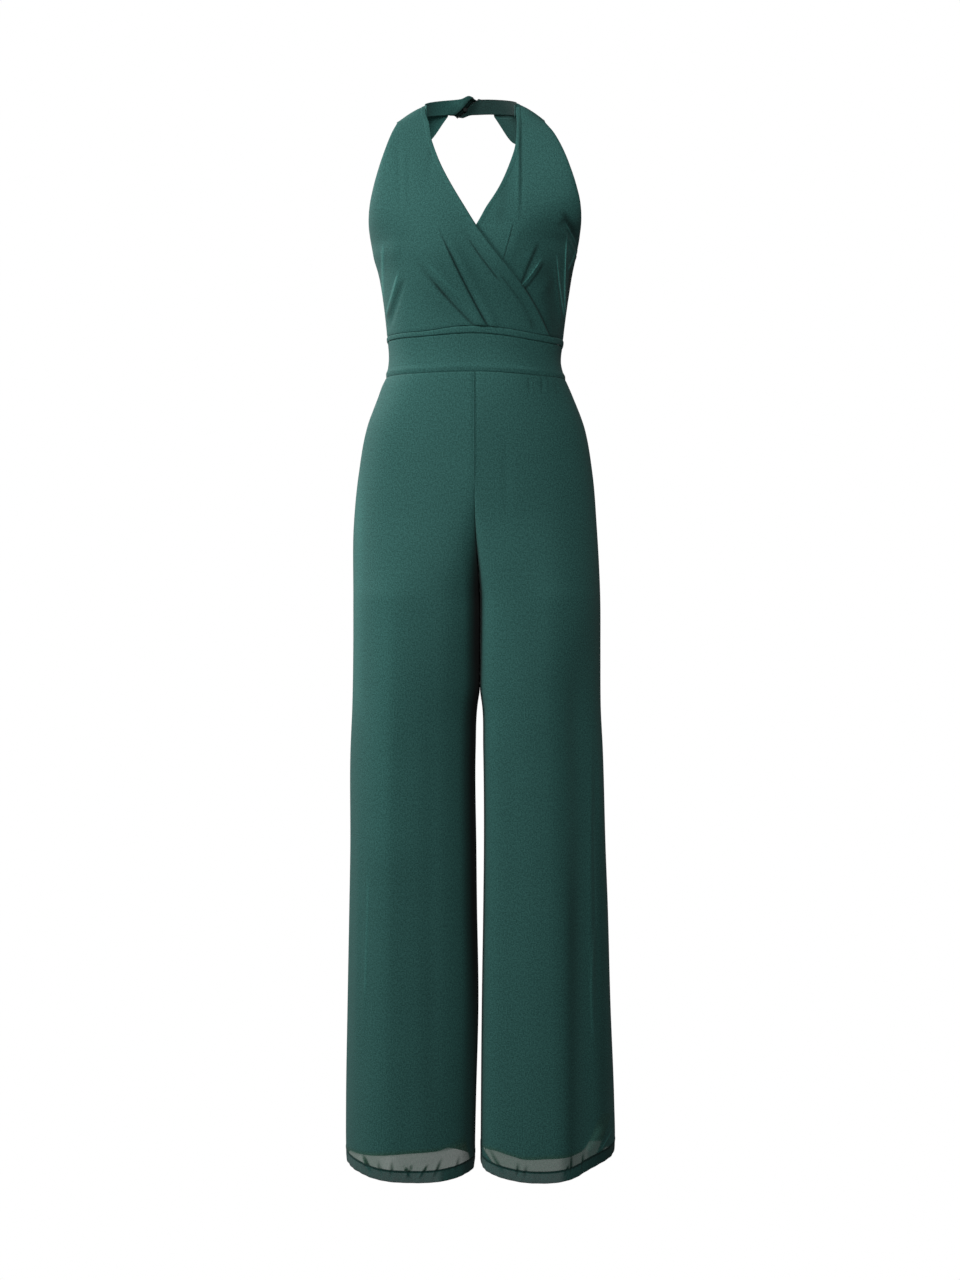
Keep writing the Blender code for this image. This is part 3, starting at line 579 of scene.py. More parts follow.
def frontPoints(height, angle):
    points = bodyPoints(height, angle)
    centre = readTable(frontForm, height).centre
    for side in (-1, 1):
        across = points[:, 0] - centre - side * bodice["cupFromCentre"]
        reach = np.hypot(across, height - bodice["cupHeight"])
        swell = bell(reach, bodice["cupRadius"]) * np.sin(angle) ** 2
        points[:, 1] -= bodice["cupDepth"] * swell
    return points


def frontAngle(height, x):
    form = readTable(frontForm, height)
    across = (x - form.centre) / form.halfWidth
    return 2 * math.pi - np.arccos(signedPower(across, form.power / 2))


def shoulderPoints(row, side, share):
    tilt = side * row.tilt
    middle = bodice["neckCentre"]
    outer = np.array([middle + side * row.outerX, row.outerY, row.outerZ + tilt])
    inner = np.array([middle + side * row.innerX, row.innerY, row.innerZ + tilt])
    crown = np.array([0.0, row.crownY, row.crownZ])
    share = share[:, None]
    return outer + (inner - outer) * share + 4 * share * (1 - share) * crown


def bodiceFrontGrid(side):
    share = shares(bodice["columns"])
    toNeck = share if side < 0 else share[::-1]
    sections = [shoulderPoints(row, side, toNeck) for row in shoulder]
    top, underarm = frontForm[0].height, level["underarm"]
    armhole = np.linspace(top, underarm, bodice["armholeSections"], endpoint=False)
    below = np.linspace(underarm, level["stripTop"], bodice["sideSections"])
    for height in np.append(armhole, below):
        neck = readTable(neckline, height)
        neckAngle = frontAngle(height, neck.rightX if side < 0 else neck.leftX)
        if side < 0:
            angle = math.pi + (neckAngle - math.pi) * share
        else:
            angle = neckAngle + (2 * math.pi - neckAngle) * share
        sections.append(frontPoints(height, angle))
    grid = loft(sections, bodice["rows"] + 1)
    belowArmhole = grid[..., 2] < underarm
    grid[belowArmhole, 1] = np.minimum(grid[belowArmhole, 1], sideSeamY)
    return grid


def pleatRelief(side, grid):
    relief = np.zeros(grid.shape[:2])
    for pleat in [pleat for pleat in pleats if pleat.side == side]:
        along, across = lineShares(pleat, grid)
        fade = smoothStep(*bodice["pleatSwell"], along) * smoothStep(*bodice["pleatFade"], along)
        lip = bodice["lipSpacing"] * pleat.width
        lips = bell(across + lip, pleat.width)
        lips = lips + bodice["secondLip"] * bell(across - lip, pleat.width)
        relief += bodice["pleatShare"] * pleat.depth * fade * lips
    return relief


# How far the left front lies down under the right one.
def lapped(grid):
    x, z = grid[..., 0], grid[..., 2]
    edge = readTable(neckline, z).rightX
    form = readTable(frontForm, z)
    sideX = form.centre + form.halfWidth
    across = smoothStep(edge + bodice["lapReach"] * (sideX - edge), edge, x)
    return across * smoothStep(*bodice["lapStart"], z)


wrap = {
    "top": -0.178,
    "deep": (-0.246, -0.264),
    "fade": (-0.314, -0.298),
    "faint": 0.4,
    "edge": (0.0022, 0.0004),
    "edgeShade": (0.30, 0.25),
    "slant": 0.7,  # of a level distance to one square to the wrap's edge
    "underFrom": 0.0006,
    "underWidth": 0.0016,
    "underShade": (0.20, 0.50),
}


# Painted shade where the wrap lies over the left front: along its own edge, and a painted shadow on
# what is under it.
def wrapShade(side, grid):
    x, z = grid[..., 0], grid[..., 2]
    ends = smoothStep(*wrap["fade"], z)
    deep = smoothStep(*wrap["deep"], z) * ends
    below = (z < wrap["top"]) * (wrap["faint"] + (1 - wrap["faint"]) * ends)
    if side < 0:
        near = smoothStep(*wrap["edge"], edgeDistances(grid)["l"])
        faint, more = wrap["edgeShade"]
    else:
        fromEdge = wrap["slant"] * (x - readTable(neckline, z).rightX)
        near = bell(np.maximum(fromEdge - wrap["underFrom"], 0.0), wrap["underWidth"])
        faint, more = wrap["underShade"]
    return near * (faint + more * deep) * below


chiffon = clothMaterial("crepe chiffon")
for side, word in sides:
    grid = bodiceFrontGrid(side)
    under = lapped(grid) if side > 0 else np.zeros(grid.shape[:2])
    push = pleatRelief(side, grid) * (1 - under) - bodice["lap"] * under
    front = smoothStep(*bodice["creasesFrom"], grid[..., 1])
    push = push + creaseRelief(bodiceCreases[side], grid) * front * (1 - under)
    push = push + rolledEdge(grid, "l" if side < 0 else "f") + seamGroove(grid, "b")
    tone = bodice["insideLightAndShade"][side]
    layCloth(
        f"bodice.front.{word}",
        sagged(pushedOut(grid, push)),
        clothMaterial(f"crepe chiffon of the {word} front", lines=bodiceLines[side]),
        clothThickness,
        marks={"paintedShading": wrapShade(side, grid)},
        inside=clothMaterial(f"crepe chiffon inside the {word} front", tone=tone),
    )

for word, start in (("left", 0.0), ("right", math.pi / 2)):
    angle = np.linspace(start, start + math.pi / 2, bodice["backColumns"] + 1)
    top = level["underarm"] - bodice["backDip"] * np.sin(angle) ** 2
    share = shares(bodice["backRows"])[:, None]
    grid = bodyPoints(top + share * (level["stripTop"] - top), angle)
    grid = sagged(pushedOut(grid, rolledEdge(grid, "t") + seamGroove(grid, "flb")))
    layCloth(
        f"bodice.back.{word}", grid, chiffon, clothThickness
    )
print("bodice laid")

# The waistband, and the narrow strip above it.
waist = {
    "girth": 0.66,
    "stripRows": 10,
    "stripCut": 0.010,
    "stripProud": 0.0010,
    "stripRound": 0.0009,
    "bandRows": 60,
    "bandCut": 0.050,
    "ridge": 0.0011,
    "ridgeAbove": 0.0060,
    "ridgeWidth": 0.0035,
    "lowSeam": (0.0010, 0.0007),  # width and depth of its groove
    "topSeam": (0.0010, 0.0005),
    "columnsPerTurn": 320,
}
# place, start and end of each length of waistband
waistParts = [
    ("front", math.pi, 2 * math.pi),
    ("back_left", 0.0, math.pi / 2),
    ("back_right", math.pi / 2, math.pi),
]
doubled = clothMaterial("doubled crepe chiffon")


def layWaist(name, grid):
    layCloth(name, sagged(grid), doubled, doubleThickness)


for place, start, end in waistParts:
    turn = (end - start) / (2 * math.pi)
    angle = np.linspace(start, end, int(waist["columnsPerTurn"] * turn) + 1)
    share = shares(waist["stripRows"])[:, None]
    strip = bodyPoints(level["stripTop"] + share * (level["bandTop"] - level["stripTop"]), angle)
    push = waist["stripProud"] - waist["stripRound"] * (2 * share - 1) ** 4
    strip = pushedOut(strip, push)
    layWaist(f"waist.strip.{place}", strip)
    share = shares(waist["bandRows"])[:, None]
    band = bodyPoints(level["bandTop"] + share * (level["bandBottom"] - level["bandTop"]), angle)
    above = band[..., 2] - level["bandBottom"]
    push = waist["ridge"] * bell(above - waist["ridgeAbove"], waist["ridgeWidth"])
    push = push + seamGroove(band, "b", *waist["lowSeam"])
    push = push + seamGroove(band, "t", *waist["topSeam"])
    band = pushedOut(band, push)
    layWaist(f"waistband.{place}", band)
print("waist laid")

# The neck strap, in two halves that pass at the nape.
strap = {
    "rows": 16,
    "columns": 150,
    "thickness": 0.0016,
    "halfWidth": 0.0588,
    "depth": 0.0550,
    "sideY": -0.0550,
    "cadWall": 0.0020,
    "lowAtSide": -0.0225,
    "rise": 0.0150,
    "heightAtSide": 0.0175,
    "growth": 0.0030,
    "tilt": 0.0010,
    "forward": math.radians(16),
    "rightEnd": (math.radians(86.5), math.radians(110)),
    "crest": (math.radians(93), 0.0042, math.radians(7)),
    "lift": (0.0030, math.radians(122), math.radians(96)),
    "leftEnd": math.radians(117),
    "sag": (math.radians(101), 0.0038, math.radians(7)),
    "leftCrest": (math.radians(89.5), 0.0030, math.radians(4.5)),
    "passBehind": (0.0024, math.radians(66), math.radians(86)),
    "edgeRound": 0.0006,
    "gap": {"top": math.radians(82), "low": math.radians(106), "width": 0.0027, "depth": 0.0045},
    "gapShade": 0.92,
    # painted shade along the left half's top edge: how dark, from which share of the rows to which
    "rim": (0.5, 0.12, 0.0),
    # painted shade near each half's ends: how dark, and from which share of the way to which: the
    # right half starts at the nape, the left one in front
    "endShade": {
        "right": [(0.25, 0.22, 0.08), (0.35, 0.07, 0.0)],
        "left": [(0.18, 0.60, 0.20), (0.15, 0.22, 0.12)],
    },
    # the inner faces: painted light on the right half's, dark painted shade on the left half's
    "inside": {"right": 1.20, "left": 0.27},
    "area": {"right": 0.0018, "left": 0.0025},
}


def strapGrid(angle, edges, layer):
    top, bottom = edges
    share = shares(strap["rows"])[:, None]
    halfWidth = strap["halfWidth"] + strap["cadWall"] + layer
    depth = strap["depth"] + strap["cadWall"] + layer
    x = bodice["neckCentre"] + halfWidth * np.cos(angle)
    y = strap["sideY"] + depth * np.sin(angle)
    return np.stack(np.broadcast_arrays(x, y, top + share * (bottom - top)), axis=-1)


def strapEdges(angle, crest):
    bottom = strap["lowAtSide"] + strap["rise"] * np.sin(angle) + strap["tilt"] * np.cos(angle)
    top = bottom + strap["heightAtSide"] + strap["growth"] * np.sin(angle)
    at, height, spread = crest
    return top + height * bell(angle - at, spread), bottom


def pressedEdges(grid):
    share = np.linspace(-1.0, 1.0, grid.shape[0])[:, None]
    return outward(grid) * (-strap["edgeRound"] * share**6)[..., None]


share = shares(strap["rows"])[:, None]
along = shares(strap["columns"])
endTop, endLow = strap["rightEnd"]
end = endTop + share * (endLow - endTop)
angle = end + (math.pi + strap["forward"] - end) * along
lift, liftFrom, liftTo = strap["lift"]
edges = strapEdges(angle, strap["crest"])
right = strapGrid(angle, edges, -lift * smoothStep(liftFrom, liftTo, angle))

angle = np.linspace(-strap["forward"], strap["leftEnd"], strap["columns"] + 1)[None, :]
top, bottom = strapEdges(angle, strap["leftCrest"])
sagAngle, sagDepth, sagSpread = strap["sag"]
bottom = bottom - sagDepth * bell(angle - sagAngle, sagSpread)
behind, behindFrom, behindTo = strap["passBehind"]
left = strapGrid(angle, (top, bottom), behind * smoothStep(behindFrom, behindTo, angle))

# The left end drops away behind the knot, and painted shade darkens the slanting gap beside the
# right end.
gap = strap["gap"]
gapAngle = gap["top"] + share * (gap["low"] - gap["top"])
gapNear = bell((angle - gapAngle) * strap["halfWidth"], gap["width"])
left = pushedOut(left, gap["depth"] * gapNear)
# Painted shade on the strap: along the left half's top edge, in the gap and towards the ends.
rimShade, rimFrom, rimTo = strap["rim"]
rim = rimShade * smoothStep(rimFrom, rimTo, share) + np.zeros(gapNear.shape)
strapShade = {
    word: sum(dark * smoothStep(far, near, along) for dark, far, near in ends)
    + np.zeros(gapNear.shape)
    for word, ends in strap["endShade"].items()
}
strapShade["left"] = np.maximum(strap["gapShade"] * gapNear, rim) + strapShade["left"]

for word, grid in (("right", right), ("left", left)):
    layCloth(
        f"neck.strap.{word}",
        grid + pressedEdges(grid),
        doubled,
        strap["thickness"],
        marks={"paintedShading": strapShade[word]},
        inside=clothMaterial(f"doubled crepe inside the {word} strap", tone=strap["inside"][word]),
    )
print("neck strap laid")

# Trousers. Below the parting each leg is a tube of its own.
trouserForm = table("height rightX leftX centre gap frontY backY power", [
    (-0.364, -0.118, 0.1172, -0.0026, 0.0, -0.143, 0.033, 2.4),
    (-0.374, -0.1228, 0.1214, -0.0026, 0.0, -0.145, 0.038, 2.38),
    (-0.39, -0.1285, 0.1277, -0.0026, 0.0, -0.1475, 0.045, 2.36),
    (-0.4259, -0.1415, 0.1405, -0.0026, 0.0, -0.151, 0.058, 2.35),
    (-0.4914, -0.1538, 0.1524, -0.0024, 0.0, -0.1545, 0.066, 2.3),
    (-0.5569, -0.1601, 0.1577, -0.001, 0.0, -0.156, 0.065, 2.25),
    (-0.6551, -0.1605, 0.1624, 0.005, 0.0, -0.156, 0.058, 2.2),
    (-0.72, -0.1606, 0.1626, 0.005, 0.0, -0.1555, 0.053, 2.15),
    (-0.773, -0.1613, 0.1627, 0.0049, 0.0, -0.1548, 0.05, 2.11),
    (-0.79, -0.1617, 0.1629, 0.0048, 0.0052, -0.1545, 0.0489, 2.1),
    (-0.85, -0.1642, 0.1657, 0.0043, 0.0096, -0.1535, 0.047, 2.1),
    (-0.9826, -0.1645, 0.1695, 0.0052, 0.0096, -0.153, 0.046, 2.1),
    (-1.0481, -0.1656, 0.172, 0.0052, 0.0082, -0.1535, 0.046, 2.1),
    (-1.179, -0.168, 0.1756, 0.0052, 0.0042, -0.156, 0.047, 2.1),
    (-1.31, -0.17, 0.1806, 0.003, 0.0062, -0.159, 0.048, 2.1),
    (-1.36, -0.17, 0.1815, 0.0023, 0.007, -0.16, 0.048, 2.1),
    (-1.405, -0.1688, 0.179, 0.0021, 0.007, -0.16, 0.048, 2.1),
])
HemEdge = namedtuple("HemEdge", "middle tiltX tiltBack sideLift")
hemEdges = {
    -1: HemEdge(-1.3932, -0.0043, 0.0028, 0.0071),
    1: HemEdge(-1.3922, 0.0030, 0.0040, 0.0164),
}
folds = table("side face at width depth top bottom", [
    (-1, -1, 0.42, 0.24, -0.003, -0.33, -0.62),
    (-1, -1, 0.62, 0.095, 0.004, -0.6, -1.45),
    (-1, -1, 0.25, 0.2, -0.0105, -0.66, -1.45),
    (-1, -1, 0.8, 0.045, 0.0012, -0.86, -1.28),
    (1, -1, 0.4, 0.24, -0.004, -0.33, -0.62),
    (1, -1, 0.42, 0.1, 0.0022, -0.6, -1.45),
    (1, -1, 0.72, 0.125, -0.0125, -0.66, -1.45),
    (1, -1, 0.9, 0.04, 0.0012, -0.8, -1.3),
    (-1, 1, 0.5, 0.11, 0.0045, -0.66, -1.45),
    (-1, 1, 0.68, 0.06, -0.004, -0.84, -1.45),
    (1, 1, 0.47, 0.11, 0.0045, -0.64, -1.45),
    (1, 1, 0.3, 0.06, -0.004, -0.9, -1.45),
])
trousers = {
    "rows": 190,
    "columns": 96,
    "rowCrowding": 0.6,
    "partingTop": -0.4900,
    "crotch": -0.6520,
    "partingPower": 2.2,
    "partingFullness": 0.05,
    "squareness": {  # of the inner and the outer half of each leg panel
        (-1, -1): (3.4, 2.5),
        (1, -1): (7.0, 2.2),
        (-1, 1): (2.3, 2.2),
        (1, 1): (2.3, 2.2),
    },
    "foldFade": 0.16,
    "foldClearOfSeam": 0.12,
    "creasesClearOfSeam": ((0.0, 0.05), (1.0, 0.97)),
    "waistGroove": (0.0012, 0.0002),
    "seamGroove": (0.0030, 0.0006),
    "centreSeamFade": 0.04,
    "mostShade": 0.95,
    "hemHeight": 0.0148,
}
legCreases = {
    (-1, -1): [
        (-0.14, -0.96, -0.144, -1.22, 0.003, 0.0008),
        (-0.109, -0.62, -0.115, -1.3, 0.01, 0.001),
        (-0.056, -0.7, -0.058, -1.34, 0.012, -0.0012),
    ],
    (1, -1): [
        (0.038, -0.44, 0.039, -0.56, 0.005, -0.0004),
        (0.148, -0.84, 0.15, -1.23, 0.0022, 0.0014, 1.0, 0.002),
        (0.154, -0.84, 0.157, -1.22, 0.003, -0.0012),
        (0.068, -0.369, 0.069, -0.386, 0.002, -0.0008),
        (0.084, -0.369, 0.086, -0.383, 0.002, -0.001),
        (0.1, -0.369, 0.103, -0.38, 0.002, -0.0007),
    ],
    (-1, 1): [
        (-0.12, -0.82, -0.125, -1.26, 0.004, 0.001),
        (-0.05, -0.72, -0.052, -1.3, 0.01, -0.001),
    ],
    (1, 1): [
        (0.13, -0.9, 0.134, -1.28, 0.004, 0.001),
        (0.06, -0.74, 0.064, -1.32, 0.01, -0.001),
    ],
}
# Puckers stand where the hem's stitching gathers the cloth: at is the x of each at the seam, lean
# its slant, up its length and shade how dark the painted shade in its valley is.
Pucker = namedtuple("Pucker", "at lean up width depth shade")
puckers = {
    (-1, -1): [
        (-0.1385, -0.5, 0.014, 0.0022, 0.0012, 0.6),
        (-0.122, -0.3, 0.012, 0.0018, 0.0008, 0.22),
        (-0.1071, 0.05, 0.015, 0.0018, 0.0008, 0.22),
        (-0.0877, -0.45, 0.009, 0.0013, 0.0011, 0.5),
        (-0.0845, 0.3, 0.01, 0.0013, 0.001, 0.5),
        (-0.0661, 0.55, 0.01, 0.0014, 0.0012, 0.55),
        (-0.0496, 0.4, 0.017, 0.0018, 0.0011, 0.32),
        (-0.024, 0.2, 0.014, 0.0018, 0.0007, 0.2),
    ],
    (1, -1): [
        (0.0288, -0.75, 0.022, 0.0022, 0.0008, 0.3),
        (0.0526, 0.05, 0.012, 0.0018, 0.0009, 0.26),
        (0.0628, 0.1, 0.01, 0.002, 0.0008, 0.16),
        (0.1155, 0.4, 0.007, 0.0012, 0.0008, 0.4),
        (0.1209, 0.0, 0.024, 0.0014, 0.0012, 0.45),
        (0.1361, 0.05, 0.013, 0.0013, 0.001, 0.45),
    ],
    (-1, 1): [
        (-0.13, 0.2, 0.012, 0.0024, 0.001, 0.4),
        (-0.095, 0.3, 0.016, 0.0016, 0.0012, 0.5),
        (-0.062, 0.1, 0.01, 0.0018, 0.0009, 0.25),
        (-0.03, 0.4, 0.014, 0.002, 0.0011, 0.35),
    ],
    (1, 1): [
        (0.035, 0.2, 0.012, 0.0018, 0.001, 0.35),
        (0.072, 0.35, 0.016, 0.002, 0.0012, 0.5),
        (0.104, 0.15, 0.01, 0.0016, 0.0008, 0.25),
        (0.14, 0.3, 0.014, 0.0022, 0.0011, 0.4),
    ],
}
puckerForm = {"ridgeAside": 1.6, "valleyShare": 0.8, "below": (-0.011, -0.002)}
# Fine fold lines on each leg, in painted shade and painted highlights.
legLines = {
    -1: [
        # painted highlights on a fold and along the hip's edge
        (-0.1368, -0.981, -0.1426, -1.172, 0.0014, -0.3),
        (-0.1524, -0.4354, -0.1544, -0.8241, 0.0089, -0.32),
        # a broad painted highlight and painted shade for the leg's roundness
        (-0.107, -0.575, -0.107, -1.013, 0.04, -0.13),
        (-0.0586, -1.05, -0.0586, -1.42, 0.012, 0.1),
    ],
    1: [
        # a broad painted highlight on the leg's roundness, and painted highlights on a thin curved
        # fold
        (0.0304, -0.46, 0.0304, -0.88, 0.02, -0.08),
        (0.1519, -0.9034, 0.1551, -1.09, 0.0014, -0.25),
        (0.1551, -1.065, 0.1519, -1.2265, 0.0014, -0.3, 0.0055),
        # painted shade in the long fold, and on the side beyond it
        (0.122, -0.93, 0.1208, -1.43, 0.0085, 0.34),
        (0.1576, -0.86, 0.166, -1.43, 0.01, 0.28),
        # painted highlights on folds by the swing of the hem
        (0.1635, -1.329, 0.1408, -1.3635, 0.0046, -0.6),
        (0.179, -1.339, 0.16, -1.364, 0.0012, -0.5),
    ],
}
# painted shade in small gathers that hang from the waistband on the left
legLines[1] += [
    (x, -0.369, x + 0.0012, -0.393, 0.0011, shade)
    for x, shade in ((0.0664, 0.2), (0.0728, 0.14), (0.083, 0.22), (0.092, 0.16), (0.1022, 0.18))
]


def hemHeight(side, angle):
    hem = hemEdges[side]
    tilt = hem.tiltX * np.cos(angle) + hem.tiltBack * np.sin(angle)
    return hem.middle + tilt + hem.sideLift * np.cos(angle) ** 2


def legAngle(side, face, along):
    turn = math.pi * (1 - along) if side > 0 else math.pi * along
    return turn if face > 0 else 2 * math.pi - turn


def foldRelief(side, face, along, height):
    relief = np.zeros(np.broadcast(along, height).shape)
    for fold in [fold for fold in folds if fold[:2] == (side, face)]:
        fade = smoothStep(fold.top, fold.top - trousers["foldFade"], height)
        fade = fade * smoothStep(fold.bottom, fold.bottom + trousers["foldFade"] / 2, height)
        relief += fold.depth * fade * bell(along - fold.at, fold.width)
    clear = trousers["foldClearOfSeam"]
    return relief * smoothStep(0.0, clear, along) * smoothStep(1.0, 1.0 - clear, along)


def trouserGrid(side, face, along, height, inset=0.0):
    along, height = np.broadcast_arrays(along, height)
    form = readTable(trouserForm, height)
    power = 2 / form.power
    sideX = form.rightX if side < 0 else form.leftX
    seamX = form.centre + side * np.maximum(form.gap, 0.0) / 2
    depth = (form.frontY if face < 0 else form.backY) - sideSeamY
    middleX = (seamX + sideX) / 2
    halfWidth = (sideX - seamX) / 2
    half = math.pi * (1 - along)
    x = middleX + halfWidth * signedPower(np.cos(half), power)
    across = np.clip((x - seamX) / (sideX - seamX), 0.0, 1.0)
    hipSwell = (1 - across ** (2 / power)) ** (power / 2)
    inner, outer = trousers["squareness"][side, face]
    square = np.where(along < 0.5, inner, outer)
    legSwell = (1 - np.abs(np.cos(half)) ** (power * square)) ** (1 / square)
    parting = trousers["partingTop"] - trousers["crotch"]
    parted = np.clip((trousers["partingTop"] - height) / parting, 0.0, 1.0)
    parted = parted ** trousers["partingPower"]
    swell = hipSwell + (legSwell - hipSwell) * parted
    y = depth * swell * (1 + trousers["partingFullness"] * parted * (1 - parted))
    out = unit(np.stack([(x - middleX) / halfWidth**2, y / depth**2], axis=-1))
    push = foldRelief(side, face, along, height) - inset
    return np.stack([x + out[..., 0] * push, sideSeamY + y + out[..., 1] * push, height], axis=-1)


def puckerRelief(side, face, grid, above):
    relief, shade = np.zeros(above.shape), np.zeros(above.shape)
    for pucker in [Pucker(*row) for row in puckers[side, face]]:
        fromLine = grid[..., 0] - (pucker.at + pucker.lean * above)
        ridge = bell(fromLine + puckerForm["ridgeAside"] * pucker.width, pucker.width)
        valley = bell(fromLine, pucker.width)
        fade = smoothStep(pucker.up, 0.0, above) * smoothStep(*puckerForm["below"], above)
        relief += pucker.depth * fade * (ridge - puckerForm["valleyShare"] * valley)
        shade += pucker.shade * fade * valley
    return relief, shade


# Between the legs the inner sides fall away, and painted shade darkens them, most on the right leg.
# Each band has its darkness, the heights it grows over and its reach from the seam.
inseamBands = {
    -1: [(0.70, (-0.560, -0.660), (0.022, 0.006)), (0.25, (-0.560, -0.620), (0.010, 0.004))],
    1: [(0.5, (-0.560, -0.620), (0.0035, 0.0010))],
}
inseamFade = {-1: 0.85, 1: 0.0, "heights": (-1.080, -1.340)}


def inseamShade(side, grid):
    x, z = grid[..., 0], grid[..., 2]
    form = readTable(trouserForm, z)
    fromSeam = np.abs(x - form.centre - side * form.gap / 2)
    shade = sum(
        dark * smoothStep(*heights, z) * smoothStep(*reach, fromSeam)
        for dark, heights, reach in inseamBands[side]
    )
    return shade * (1 - inseamFade[side] * smoothStep(*inseamFade["heights"], z))


lining = {
    "rows": 46,
    "perFace": 90,
    "top": -1.2300,
    "edge": -1.3690,
    "clearance": 0.0023,
    "slack": 0.0034,
    "slackLength": 0.10,
    "frontRise": 0.0045,
    "rise": {-1: 0.0045, 1: 0.0030},
    "tilt": {-1: 0.0038, 1: -0.0038},
    "swing": {-1: 0.0, 1: 0.0400},
    "swingAngle": math.radians(348),
    "swingFrom": (math.radians(-43.5), math.radians(-18)),
    "swingTo": (math.radians(60), math.radians(15)),
    "waverFrom": (0.0, 0.25),
}
# how far the front of the lining's edge lies from that curve, across each leg
liningWaver = table("across right left", [
    (-1.0, 0.0025, 0.0065),
    (-0.87, 0.0015, 0.0059),
    (-0.6, 0.0, -0.001),
    (-0.39, 0.0, -0.0058),
    (-0.03, 0.0, -0.005),
    (0.33, 0.0, -0.0025),
    (0.57, 0.0015, 0.0022),
    (0.8, 0.0078, 0.005),
    (1.0, 0.016, 0.006),
])


def liningEdge(side, angle):
    front = np.clip(-np.sin(angle), 0.0, 1.0)
    turn = (angle - lining["swingAngle"] + math.pi) % (2 * math.pi) - math.pi
    swing = smoothStep(*lining["swingFrom"], turn) * smoothStep(*lining["swingTo"], turn)
    edge = lining["edge"] + (lining["frontRise"] + lining["rise"][side]) * front
    edge = edge + lining["tilt"][side] * np.cos(angle) + lining["swing"][side] * swing
    waver = readTable(liningWaver, np.cos(angle))
    waver = waver.right if side < 0 else waver.left
    return edge + smoothStep(*lining["waverFrom"], front) * waver


# Above the hem the leg is one thin layer, up to the lining's edge.
strip = {
    "edgeFade": (-0.001, 0.008),
    # over these heights above the hem it turns from bare to nearly backed
    "bareTo": {-1: (0.021, 0.029), 1: (0.003, 0.045)},
    "highest": 0.72,
    "least": {-1: 0.0, 1: 0.12},
    "outer": {-1: [], 1: [(0.40, 0.098, 0.118), (0.58, 0.136, 0.146)]},  # share, from x and to x
    "behind": {-1: 0.0, 1: 1.0},  # where the cloth that lies double runs on past the side seam
    "behindFrom": (0.100, 0.135),
    "lineFade": (0.0010, -0.0010),
}
# Past these lines (to the right of one that runs down) the cloth lies double and covers the strip.
CoverLine = namedtuple("CoverLine", "x1 z1 x2 z2")
coverLines = {
    -1: [(-0.0118, -1.3578, -0.0057, -1.3837)],
    1: [(0.0288, -1.3810, 0.0167, -1.3655), (0.1664, -1.3403, 0.1554, -1.3656)],
}
# soft spots where the strip is barer
BareSpot = namedtuple("BareSpot", "x z halfLength halfHeight share")
bareSpots = {
    -1: [(-0.1460, -1.3700, 0.0050, 0.0120, 0.16), (-0.1120, -1.3700, 0.0110, 0.0160, 0.16)],
    1: [(0.1680, -1.3634, 0.0042, 0.0022, 0.95)],
}


# Backed is 1 where the lining or a second layer lies behind the leg, 0 where it is one thin layer.
def backedShare(side, face, grid, angle, height, foot):
    fromEdge = height - liningEdge(side, angle)
    covers = [strip["highest"] * smoothStep(*strip["bareTo"][side], height - foot)]
    x = grid[..., 0]
    if face > 0:
        covers.append(strip["behind"][side] * smoothStep(*strip["behindFrom"], x))
    else:
        covers += [share * smoothStep(start, end, x) for share, start, end in strip["outer"][side]]
        for row in coverLines[side]:
            past = lineShares(CoverLine(*row), grid)[1]
            covers.append(smoothStep(*strip["lineFade"], past))
    backed = np.maximum(smoothStep(*strip["edgeFade"], fromEdge), strip["least"][side])
    for cover in covers:
        backed = np.maximum(backed, cover)
    for spot in [BareSpot(*row) for row in bareSpots[side] if face < 0]:
        across, up = (x - spot.x) / spot.halfLength, (grid[..., 2] - spot.z) / spot.halfHeight
        backed = backed - spot.share * bell(np.hypot(across, up), 1.0) * (fromEdge < 0)
    return backed


sheerOpacity = 0.667
sheerCloth = {
    side: clothMaterial(
        f"crepe chiffon over the lining, {word} leg",
        opacity=sheerOpacity,
        lined=True,
        lines=legLines[side],
    )
    for side, word in sides
}
backCloth = clothMaterial("crepe chiffon over the lining, behind", opacity=sheerOpacity, lined=True)
rowShare = shares(trousers["rows"])[:, None]
turned = np.sin(2 * math.pi * rowShare) / (2 * math.pi)
rowShare = rowShare - trousers["rowCrowding"] * turned

for side, word in sides:
    for face, place in ((-1, "front"), (1, "back")):
        along = shares(trousers["columns"])
        along = along[::-1] if side == face else along
        angle = legAngle(side, face, along)
        foot = hemHeight(side, angle) + trousers["hemHeight"]
        height = level["bandBottom"] + rowShare * (foot - level["bandBottom"])
        grid = trouserGrid(side, face, along, height)
        gathers, shade = puckerRelief(side, face, grid, height - foot)
        push = creaseRelief(legCreases[side, face], grid) + gathers
        if face < 0:
            shade = shade + inseamShade(side, grid)
        backed = backedShare(side, face, grid, angle, height, foot)
        for clear in trousers["creasesClearOfSeam"]:
            push = push * smoothStep(*clear, along)
        push = push + seamGroove(grid, "t", *trousers["waistGroove"])
        fadeFrom = trousers["partingTop"] - trousers["centreSeamFade"]
        joined = smoothStep(fadeFrom, trousers["partingTop"], height)
        inseam, sideSeam = "fl" if along[0] == 0 else "lf"
        push = push + joined * seamGroove(grid, inseam, *trousers["seamGroove"])
        push = push + seamGroove(grid, sideSeam, *trousers["seamGroove"])
        layCloth(
            f"leg.{place}.{word}",
            sagged(pushedOut(grid, push)),
            sheerCloth[side] if face < 0 else backCloth,
            clothThickness,
            marks={"backed": backed, "paintedShading": np.minimum(shade, trousers["mostShade"])},
        )
print("legs laid")


